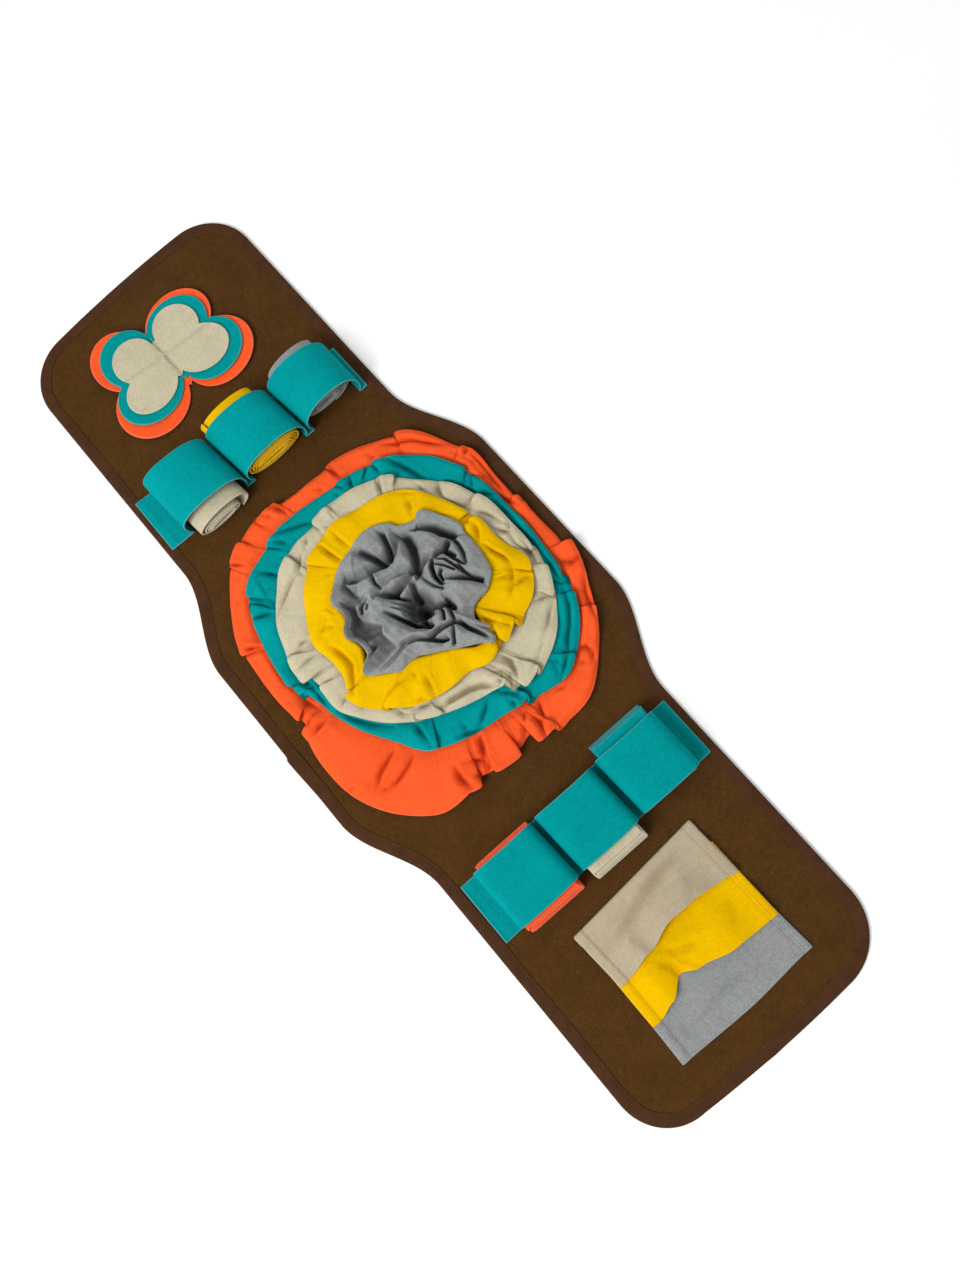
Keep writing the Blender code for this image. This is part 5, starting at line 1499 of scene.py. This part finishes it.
# panels that turn away from the light: (x, y, half width, half height, share of light lost)
HEART_PANELS = (
    (-40, 30, 18, 25, 0.46), (-43, -9, 22, 8, 0.5), (1, 64, 13, 5, 0.3), (7, 29, 8, 4, 0.4),
    (-31, 68, 12, 9, 0.25), (16, -15, 6, 7, 0.5), (52, 42, 6, 12, 0.15), (60, 21, 9, 6, 0.12),
)
HEART_DARKEST = 0.62        # share of light lost in folds of the next depth or more
HEART_DARK_DEPTH = 24.0


def heart_top():
    """The upper face of the bunched middle and its shade, rows from its free edge to its heart."""
    angle = np.arange(HEART_COLUMNS) * 360.0 / HEART_COLUMNS
    fine_stops = np.linspace(HEART_FINE_START, 7.0, HEART_FINE_ROWS)
    lift = round_table(GREY_EDGE, 2, angle)
    edge_radius = round_table(HEART_EDGE, 1, angle)
    folds = [(left * HEART_NARROW, right * HEART_NARROW,
              [(x, y, depth * HEART_DEEPEN) for x, y, depth in points])
             for left, right, points in HEART_FOLDS]
    grid, shade = [], []
    for stop in np.concatenate([HEART_RIM_ROWS, fine_stops]):
        plan, dome = on_mound(stop, angle, 5, edge_radius)
        x, y = plan.T
        z = dome + 0.9 + lift * max(0.0, 6.0 - stop) ** 1.5 * 0.8
        z = z + HEART_LUMPS * swell(x, y, 0.12, 9.0) * smooth((stop - 5.0) / 0.3)
        fold = crease_field(x, y, folds, sharp=0.8)
        most = (HEART_LEAST_DEPTH + HEART_RIM_DEPTH * smooth((stop - 5.02) / 0.2)
                + HEART_MOST_DEPTH * smooth((stop - 5.18) / 0.25))
        hollow = HEART_HOLLOW * smooth((stop - 6.70) / 0.27)
        fold = np.minimum(fold, most) * (1.0 - 0.85 * smooth((stop - 6.8) / 0.2)) + hollow
        lost = HEART_DARKEST * smooth(fold / HEART_DARK_DEPTH)
        for cx, cy, half_x, half_y, share in HEART_PANELS:
            reach = np.hypot((x - cx) / half_x, (y - cy) / half_y)
            lost = np.maximum(lost, share * (1.0 - smooth((reach - 0.55) / 0.6)))
        shade.append(lost)
        z = z - fold + 0.4 * swell(x, y, 0.33, 5.0)
        z = z - ROLL_OVER * math.exp(-(stop - 5.0) / 0.03)
        grid.append(np.column_stack([plan, z]))
    return np.stack(grid), np.stack(shade)


def heart_cloth():
    """Both faces of the bunched middle and its shade, down to its seam on the base."""
    upper, shade = heart_top()
    square = square_to(upper, True)
    steep = length_of(square)[..., 0] / np.maximum(np.abs(square[..., 2]), TINY)
    lower = upper.copy()
    lower[..., 2] -= FLEECE * np.clip(steep, 1.0, HEART_STEEPEST)
    angle = np.arange(HEART_COLUMNS) * 360.0 / HEART_COLUMNS
    lip = upper[-1, :, 2]
    inner, outer = [], []
    for radius, height_left in HEART_WALL:
        z = mix(HEART_FLOOR, lip, height_left)
        inner.append(np.column_stack([at_ring(7, angle, radius), z]))
        outer.append(np.column_stack([at_ring(7, angle, radius + FLEECE), z]))
    upper = np.concatenate([upper, np.stack(inner)])
    lower = np.concatenate([lower, np.stack(outer)])
    shade = np.concatenate([shade, np.repeat(shade[-1:], len(HEART_WALL), axis=0)])
    return upper, lower, shade


upper, lower, shade = heart_cloth()
heart = two_faces("ring_grey", upper, lower, FLEECES["grey"], wrap=True, shade=shade)
lay(heart, "ruffle_grey", (0.13, 0.36))

# %% [markdown]
# ## The butterfly
# Three fleece cut-outs lie on each other and are sewn down along the body, so their wings lift
# a little. Every cut-out is the outline of a few ellipses: four wings and a slim body. From
# the butterfly's middle, a ray in each direction runs out to the farthest ellipse it meets,
# and rings of points in between make the sheet.

# %% Butterfly
BUTTERFLY_CENTRE = (-8.0, 399.0)
# (centre x, centre y, half width, half height, tilt in degrees)
BUTTERFLY_LAYERS = {
    "orange": ((-47, 426, 32, 36, 10), (26, 418, 38, 33, 0),
               (-49, 366, 41, 38, 0), (36.5, 361.5, 40.5, 36, 0),
               (-7, 394, 8, 40, 0)),
    "teal": ((-39, 421, 31, 33, 0), (22, 414, 35, 31, 0),
             (-45, 374, 37, 32, 0), (32.5, 368, 36.5, 32, 0),
             (-6, 393.5, 8, 31.5, 0)),
    "cream": ((-35, 413, 24.5, 25, 0), (19.5, 411, 25.5, 26, 0),
              (-40, 376, 30.5, 24, 8), (25.5, 374.5, 31.5, 25, -16),
              (-8, 391.5, 9, 25, 0)),
}
WING_COLUMNS = 420
# rows of a wing, as shares of the way from the middle to the edge
WING_ROWS = (1.0, 0.985, 0.95, 0.9, 0.82, 0.72, 0.6, 0.48, 0.36, 0.24, 0.12, 0.0)
WING_RISE = 0.031           # how steeply the wings rise from the body
WING_LOW = 3.15             # underside of the lowest layer at the body
WING_PITCH = 2.25           # from one layer to the next
WING_PRESS = {"orange": 0.0, "teal": 0.3, "cream": 0.65}    # how far the stitches press each down
WING_FLATS = {"orange": (0.167, 0.142), "teal": (0.152, 0.113), "cream": (0.131, 0.085)}
BODY_WIDTH = 3.2            # half width of the part that is pressed down


def lobe_reach(lobe, ray_x, ray_y):
    """How far each ray from the middle runs before it leaves an ellipse, or 0."""
    cx, cy, half_w, half_h, tilt = lobe
    cx, cy = cx - BUTTERFLY_CENTRE[0], cy - BUTTERFLY_CENTRE[1]
    c, s = math.cos(math.radians(tilt)), math.sin(math.radians(tilt))
    dx, dy = (ray_x * c + ray_y * s) / half_w, (ray_y * c - ray_x * s) / half_h
    px, py = (cx * c + cy * s) / half_w, (cy * c - cx * s) / half_h
    size = dx * dx + dy * dy
    middle = (dx * px + dy * py) / size
    square = middle * middle - (px * px + py * py - 1.0) / size
    return np.where(square > 0.0, np.maximum(0.0, middle + np.sqrt(np.maximum(square, 0.0))), 0.0)


def butterfly_layer(layer, colour, lobes):
    """One cut-out, and the area in square metres that was cut."""
    turn = np.radians(np.arange(WING_COLUMNS) * 360.0 / WING_COLUMNS + 90.0)
    ray_x, ray_y = np.cos(turn), np.sin(turn)
    reach = np.max([lobe_reach(lobe, ray_x, ray_y) for lobe in lobes], axis=0)
    shares = np.array(WING_ROWS)[:, None]
    x, y = shares * reach * ray_x, shares * reach * ray_y
    body = np.exp(-(x / BODY_WIDTH) ** 2)
    z = WING_LOW + layer * WING_PITCH + WING_RISE * np.abs(x) * (1.0 - 0.3 * body)
    z = z - WING_PRESS[colour] * body + 0.16 * (1.0 + swell(x, y, 0.5, layer + 2.0))
    edge = np.clip((shares - 0.9) / 0.1, 0.0, 1.0)
    z = z + 0.5 * edge ** 2 * (0.5 + 0.5 * np.sin(turn * 5.0 + layer))
    plan = np.stack([x + BUTTERFLY_CENTRE[0], y + BUTTERFLY_CENTRE[1]], axis=-1)
    lower = np.concatenate([plan, z[..., None]], axis=-1)
    upper = lower + np.array([0.0, 0.0, FLEECE])
    shade = np.zeros(x.shape)
    if colour == "cream":
        spine = np.exp(-((x + 0.04 * y) / 1.8) ** 2)
        cross = np.exp(-((y + 3.0 + 0.12 * x) / 2.2) ** 2)
        upper[..., 2] -= 0.5 * cross + 0.9 * spine
        shade = 0.16 * cross + 0.3 * spine
    piece = two_faces("butterfly_layer_" + colour, upper, lower, FLEECES[colour], wrap=True,
                      pole=True, shade=shade)
    return piece, cut_area(x[0], y[0])


for layer, (colour, lobes) in enumerate(BUTTERFLY_LAYERS.items()):
    wing, cut = butterfly_layer(layer, colour, lobes)
    lay(wing, "butterfly_" + colour, WING_FLATS[colour], cut)
body_top = WING_LOW + 2 * WING_PITCH - WING_PRESS["cream"] + FLEECE
body_line = [(BUTTERFLY_CENTRE[0], y, body_top) for y in np.linspace(375.0, 421.0, 60)]
sew("butterfly_stitches", [body_line], "cream", 3.4, 2.5, 0.3)

# %% [markdown]
# ## Straps
# A strap is one long strip that is sewn to the base at its ends and between its loops. Seen
# from the front it is a line: flat, up and over, down to the seam, and up again. That line is
# given the strip's width, leaned a little where the real one is askew, and its long cut edges
# dip slightly, because nothing holds them up.

# %% Straps
BASE_SEAT = 3.15            # underside of whatever lies straight on the base
# left and right are its ends, near and far the y of its two cut edges at each end, power how
# square its loops are, start how high their widest place is, lean how far they slant
UPPER_STRAP = {"left": -131, "right": 126, "near": (228, 222), "far": (293, 277),
               "power": 2.3, "start": 0.5, "lean": -0.10}
LOWER_STRAP = {"left": -124, "right": 130, "near": (-279, -272), "far": (-215, -210),
               "power": 6, "start": 0, "lean": -0.04}
# loop: (middle x, half width, height over the mat)
UPPER_LOOPS = ((-70, 38.5, 41), (9, 38, 40), (85, 35.5, 42))
LOWER_LOOPS = ((-69.5, 35.5, 30), (5.5, 34.5, 28.5), (80.5, 34.5, 31))
LOOP_STEPS, TAB_STEPS, STRAP_ROWS = 46, 12, 22
STRAP_PACE = 1.5
TAB_GAP = 1.5               # from a loop's foot to the flat part of the tab
TAB_RISE = 0.75             # how far a tab's end is lifted by the tape under it
TAPE_LIP = 125.0            # where the tape's lip begins, from the middle of the mat
TAB_SHARE = 0.18            # share of the strap at each end over which its lean comes in
EDGE_DIP = 0.7              # how far the cut edges of a loop dip
STRAP_FLATS = {"upper": (0.062, 0.43), "lower": (0.063, 0.39)}
SEAM_INSET = 3.0            # from a cut edge to the first stitch of a seam
SEAM_POINTS = 30
THREAD_SEAT = 0.05          # middle of the thread over the cloth


def loop_line(middle, half, height, power, start):
    """A strap over one loop, from seam to seam, as points (x, z)."""
    seat = BASE_SEAT + 0.5 * FLEECE
    top = BASE_TOP + height - 0.5 * FLEECE
    rise = (top - seat) / (1.0 + start)
    first = math.asin(start ** (0.5 * power))
    t = math.pi + first - (math.pi + 2.0 * first) * np.linspace(0.0, 1.0, LOOP_STEPS + 1)
    x = np.sign(np.cos(t)) * np.abs(np.cos(t)) ** (2.0 / power)
    z = np.sign(np.sin(t)) * np.abs(np.sin(t)) ** (2.0 / power)
    return np.column_stack([middle + (half - 0.5 * FLEECE) * x, seat + rise * start + rise * z])


def tab_line(end, inner):
    """A strap's tab from beside its loop to its end, lifted where it lies on the binding."""
    seat = BASE_SEAT + 0.5 * FLEECE
    side = math.copysign(1.0, end)
    x = np.linspace(inner, end, TAB_STEPS)
    z = seat + TAB_RISE * smooth((side * x - (TAPE_LIP - 4.5)) / 3.5)
    return np.column_stack([x, z])


def strap_grid(strap, loops):
    """The middle surface of a strap, rows from its near edge to its far one."""
    parts = [loop_line(*loop, strap["power"], strap["start"]) for loop in loops]
    left_tab = tab_line(strap["left"], parts[0][0][0] - TAB_GAP)[::-1]
    right_tab = tab_line(strap["right"], parts[-1][-1][0] + TAB_GAP)
    line, walk = walked(np.concatenate([left_tab] + parts + [right_tab]), STRAP_PACE, False)
    share = (line[:, 0] - strap["left"]) / (strap["right"] - strap["left"])
    near = mix(*strap["near"], share)
    far = mix(*strap["far"], share)
    middle_y = 0.5 * (strap["near"][0] + strap["far"][0])
    lean = strap["lean"] * np.minimum(1.0, np.minimum(share, 1.0 - share) / TAB_SHARE)
    down = np.linspace(0.0, 1.0, STRAP_ROWS)[:, None]
    y = mix(near, far, down)
    raised = smooth((line[:, 1] - 8.0) / 14.0)
    x = line[:, 0] + lean * (y - middle_y)
    edge = np.abs(2.0 * down - 1.0) ** 6
    z = line[:, 1] - EDGE_DIP * edge * raised + 0.3 * raised * swell(x, y, 0.7, 1.0)
    y = y + raised * 0.8 * np.sin(walk / 19.0)
    return np.stack([x, y, z], axis=-1)


def seam_line(strap, x, lean, end):
    """A line of stitches across a strap, as long as the strap is broad at one of its ends."""
    near, far = strap["near"][end], strap["far"][end]
    y = np.linspace(near + SEAM_INSET, far - SEAM_INSET, SEAM_POINTS)
    z = np.full(SEAM_POINTS, BASE_SEAT + FLEECE + THREAD_SEAT)
    return np.column_stack([x + lean * (y - 0.5 * (near + far)), y, z])


def make_strap(name, colour, strap, loops):
    """A strap with a seam between its loops and one across the middle of each tab."""
    piece = cloth("strap_band_" + name, strap_grid(strap, loops), FLEECES[colour])
    lay(piece, "strap_" + name, STRAP_FLATS[name])
    lines = [seam_line(strap, 0.5 * (a[0] + a[1] + b[0] - b[1]), strap["lean"], 0)
             for a, b in zip(loops, loops[1:])]
    first, last = loops[0], loops[-1]
    lines.append(seam_line(strap, 0.5 * (strap["left"] + first[0] - first[1]), 0.0, 0))
    lines.append(seam_line(strap, 0.5 * (strap["right"] + last[0] + last[1]), 0.0, 1))
    sew("strap_stitches_" + name, lines, colour, radius=0.28)


make_strap("upper", "aqua", UPPER_STRAP, UPPER_LOOPS)

# %% [markdown]
# ## Rolls
# Three fleeces are rolled up and pushed through the upper loops. The section of a roll is a
# spiral squeezed into an oval. The outermost turn is looser than the rest and ends somewhere
# along the side. The spiral is one line, given its length, so the turns at the ends are real.

# %% Rolls
# roll: (colour, middle, half, height, near, far, loose end's angle, lean, slack, core's shift)
ROLLS = (
    ("cream", -71, 33, 35, 214, 284, -50, -0.10, 5.2, -4),
    ("yellow", 8, 33, 35, 226.5, 297, 150, -0.13, 0.8, 0),
    ("grey", 84.5, 30, 36, 233, 290.5, -75, -0.06, 1.8, 0),
)
ROLL_PITCH = 2.45           # from one turn to the next
ROLL_CORE = 2.2             # half height at which the spiral ends
ROLL_STEPS = 52             # points in one turn
ROLL_ROWS = 18
ROLL_SLIDE = 0.5            # how far each turn stands out past the one round it
ROLL_NARROW = 1.173         # the turns narrow this much faster than they flatten
ROLL_LOOSE = 1.1            # the slack is taken up in this many turns
ROLL_UNEVEN = 0.35
ROLL_FLATS = {"cream": (0.074, 0.35), "yellow": (0.072, 0.56), "grey": (0.060, 0.46)}


def roll_grid(middle, half, height, near, far, loose, lean, slack, shift):
    """The middle surface of a roll, rows from its near end to its far one."""
    outer_half, outer_high = half - 0.5 * FLEECE, 0.5 * height - 0.5 * FLEECE
    turns = (outer_high - slack - ROLL_CORE) / ROLL_PITCH
    t = np.linspace(0.0, turns, int(turns * ROLL_STEPS))
    loosened = smooth(t / ROLL_LOOSE)
    shrink = ROLL_PITCH * t + slack * loosened
    angle = math.radians(loose) + 2.0 * math.pi * t
    uneven = ROLL_UNEVEN * np.sin(3.0 * angle + t) * smooth(t / 0.3)
    x = (outer_half - shrink * ROLL_NARROW + uneven) * np.cos(angle) + shift * loosened
    z = (outer_high - shrink + uneven * 0.5) * np.sin(angle) - slack * 0.8 * loosened
    z = z - z.min() + BASE_SEAT + 0.1 + 0.5 * FLEECE
    down = np.linspace(0.0, 1.0, ROLL_ROWS)[:, None]
    y_near = near - ROLL_SLIDE * t + 0.4 * np.sin(angle * 1.7)
    y_far = far + ROLL_SLIDE * t + 0.4 * np.sin(angle * 1.3 + 1.0)
    y = mix(y_near, y_far, down)
    x = middle + x + lean * (y - 0.5 * (near + far))
    return np.stack([x, y, np.broadcast_to(z, y.shape)], axis=-1)


for colour, *sizes in ROLLS:
    piece = cloth("rolled_" + colour, roll_grid(*sizes), FLEECES[colour])
    lay(piece, "roll_" + colour, ROLL_FLATS[colour])

# %% [markdown]
# ## The lower strap and its folded cloths
# The lower loops are boxier, and hold cloths that are folded back and forth. The section of
# such a stack is a switchback: a flat run, a tight turn, and a flat run back on top. Each layer
# stops a little short of the one below, so the ends show as steps.

# %% Lower strap and folded cloths
# (colour, middle, half, layers, near, far, lean)
FOLDS = (
    ("orange", -69, 31.5, 7, -288, -209, -0.03),
    ("cream", 6, 30, 7, -291, -212, -0.04),
    ("teal", 80.5, 30.5, 7, -275, -197, -0.02),
)
FOLD_PITCH = 3.3            # from one layer to the next
FOLD_STEP = 0.9             # how much sooner each layer ends than the one below
FOLD_POINTS, TURN_POINTS, FOLD_ROWS = 22, 9, 20
FOLD_FLAT = (0.078, 0.40)


def fold_grid(middle, half, layers, near, far, lean, seed):
    """The middle surface of a folded cloth, rows from its near end to its far one."""
    radius = 0.5 * FOLD_PITCH
    flat = half - 0.5 * FLEECE - radius
    line, level = [], []
    for layer in range(layers):
        side = 1.0 if layer % 2 == 0 else -1.0
        z = BASE_SEAT + 0.5 * FLEECE + FOLD_PITCH * layer
        t = np.linspace(-1.0, 1.0, FOLD_POINTS)
        sag = 0.3 * np.sin(3.1 * t + seed + layer * 1.7) + 0.2 * np.sin(7.0 * t + layer)
        line.append(np.column_stack([side * flat * t, z + sag * (1.0 - t * t)]))
        level.append(np.full(FOLD_POINTS, float(layer)))
        if layer < layers - 1:
            turn = np.radians(np.linspace(-90.0, 90.0, TURN_POINTS)[1:-1])
            line.append(np.column_stack([side * (flat + radius * np.cos(turn)),
                                         z + radius + radius * np.sin(turn)]))
            level.append(layer + 0.5 + 0.5 * np.sin(turn))
    line, level = np.concatenate(line), np.concatenate(level)
    wander = 1.3 * np.sin(level * 2.3 + seed) + 0.8 * np.sin(level * 4.1 + 2.0 * seed)
    y_near = near + FOLD_STEP * level + wander * smooth(level)
    y_far = far - FOLD_STEP * level - wander * smooth(level) * 0.8
    y = mix(y_near, y_far, np.linspace(0.0, 1.0, FOLD_ROWS)[:, None])
    x = middle + line[:, 0] + lean * (y - 0.5 * (near + far))
    return np.stack([x, y, np.broadcast_to(line[:, 1], y.shape)], axis=-1)


make_strap("lower", "teal", LOWER_STRAP, LOWER_LOOPS)
for seed, (colour, *sizes) in enumerate(FOLDS):
    piece = cloth("folded_" + colour, fold_grid(*sizes, float(seed)), FLEECES[colour])
    lay(piece, "fold_" + colour, FOLD_FLAT)

# %% [markdown]
# ## Flaps
# Three flaps overlap like roof tiles. Each is sewn at its top and down its sides, and its
# lower edge arches open so that a nose can reach under. The free edge is a table across the
# flap: how far down it comes, and how high it arches. The top flap is hemmed, so its upper
# edge is twice as thick.

# %% Flaps
# for each flap: x of its two sides at the top and at the free edge, y of its top at each side
POCKETS = {
    "grey": {"top": (-71, 76), "edge": (-73, 80), "top_y": (-392, -391)},
    "yellow": {"top": (-71.5, 76), "edge": (-71.5, 77), "top_y": (-338, -332)},
    "cream": {"top": (-74, 73.5), "edge": (-70.5, 76), "top_y": (-315, -305)},
}
# free edge across each flap: (share of the width, y, rise over its seat)
POCKET_EDGES = {
    "grey": ((0, -456, 0), (0.5, -457.5, 0), (1, -453.5, 0)),
    "yellow": ((0, -416, 0), (0.06, -416, 0.3), (0.19, -410, 7), (0.33, -398, 0.8),
               (0.45, -404, 6), (0.68, -411, 9), (0.9, -413.5, 1.5), (1, -414, 0)),
    "cream": ((0, -373, 0), (0.08, -372, 0.5), (0.28, -366, 7), (0.5, -357, 11),
              (0.7, -357.5, 10), (0.9, -362, 2), (1, -365, 0)),
}
POCKET_ROWS, POCKET_COLUMNS = 46, 96
POCKET_SPRING = 1.4         # how late the arch rises on its way to the free edge
# where a flap climbs on to the one below it, as shares of its length, and how far
POCKET_STEPS = {"yellow": (0.45, 0.68), "cream": (0.08, 0.36)}
POCKET_CLIMB = 2.3
HEM_WIDTH, HEM_THICK = 10.0, 1.3
SIDE_HEM_WIDTH, SIDE_HEM_THICK = 8.5, 0.7
POCKET_FLATS = {"grey": (0.150, 0.066), "yellow": (0.149, 0.076), "cream": (0.147, 0.066)}
POCKET_CREASES = {
    "grey": ((6, 9, ((-50, -440, 0.3), (0, -430, 0.8), (50, -438, 0.3))),
             (7, 7, ((-58, -424, 0.2), (-52, -436, 0.8), (-54, -450, 0.3)))),
    "yellow": ((5, 8, ((-24, -402, 2.2), (-25, -388, 2), (-34, -376, 0.5))),
               (3.5, 9, ((-20, -372, 0.8), (-13, -381, 2.4), (2, -384, 1.2))),
               (4, 7, ((-6, -404, 1), (-14, -390, 1.4), (-22, -380, 0.4))),
               (6, 9, ((40, -400, 0.5), (50, -385, 0.8), (56, -372, 0.3)))),
    "cream": ((7, 10, ((-30, -366, 1), (-34, -350, 1.2), (-30, -336, 0.3))),
              (8, 12, ((28, -356, 0.8), (36, -342, 1), (44, -328, 0.3))),
              (7, 11, ((-60, -342, 0.4), (-34, -336, 1.3), (-6, -327, 1.6), (17, -321, 1.6),
                           (42, -318, 0.8)))),
}


def eased(rows, column, share):
    """A column of a table across a flap, eased between its rows."""
    stops = np.array([row[0] for row in rows])
    values = np.array([row[column] for row in rows])
    k = np.clip(np.searchsorted(stops, share, side="right") - 1, 0, len(rows) - 2)
    t = smooth((share - stops[k]) / (stops[k + 1] - stops[k]))
    return mix(values[k], values[k + 1], t)


def pocket_faces(colour):
    """Both faces of one flap and its shade, rows from its seam to its free edge."""
    spec, edge = POCKETS[colour], POCKET_EDGES[colour]
    down = np.linspace(0.0, 1.0, POCKET_ROWS)[:, None]
    share = np.linspace(0.0, 1.0, POCKET_COLUMNS)
    left = mix(spec["top"][0], spec["edge"][0], down)
    right = mix(spec["top"][1], spec["edge"][1], down)
    x = mix(left, right, share)
    top_y = mix(*spec["top_y"], share)
    y = mix(top_y, eased(edge, 1, share), down)
    z = BASE_SEAT + eased(edge, 2, share) * down ** POCKET_SPRING
    if colour in POCKET_STEPS:
        first, last = POCKET_STEPS[colour]
        z = z + POCKET_CLIMB * smooth((down - first) / (last - first))
    z = z + 0.12 * (1.0 + swell(x, y, 0.6, len(colour)))
    sunk = crease_field(x, y, POCKET_CREASES[colour])
    z = z - sunk * smooth((z - 3.6) / 1.2)
    lower = np.stack([x, y, z], axis=-1)
    upper = lower + np.array([0.0, 0.0, FLEECE])
    if colour == "cream":
        hem = 1.0 - smooth(((top_y - y) - HEM_WIDTH) / 1.2 + 0.5)
        upper[..., 2] += HEM_THICK * hem * smooth((top_y - y) / 0.8 + 0.4)
    side = np.minimum(x - left, right - x)
    side_hem = 1.0 - smooth((side - SIDE_HEM_WIDTH) / 1.2 + 0.5)
    upper[..., 2] += SIDE_HEM_THICK * side_hem * smooth(side / 0.8)
    shade = 0.3 * smooth(sunk / 1.6) + 0.28 * np.exp(-((side - SIDE_HEM_WIDTH - 0.6) / 0.9) ** 2)
    return upper, lower, shade


for colour in POCKETS:
    upper, lower, shade = pocket_faces(colour)
    upper = supported(np.concatenate([upper, shade[..., None]], axis=-1))
    upper, shade, lower = upper[..., :3], upper[..., 3], supported(lower)
    # the cream flap takes the darker copy of the cream fleece, as painted shade
    cloth_colour = "oat" if colour == "cream" else colour
    flap = two_faces("flap_" + colour, upper, lower, FLEECES[cloth_colour], shade=shade)
    lay(flap, "pocket_" + colour, POCKET_FLATS[colour])
    seams = (upper[4:-3, 5], upper[4:-3, -6], upper[5, 5:-5])
    lines = [seam + np.array([0.0, 0.0, THREAD_SEAT]) for seam in seams]
    sew("flap_stitches_" + colour, lines, colour)
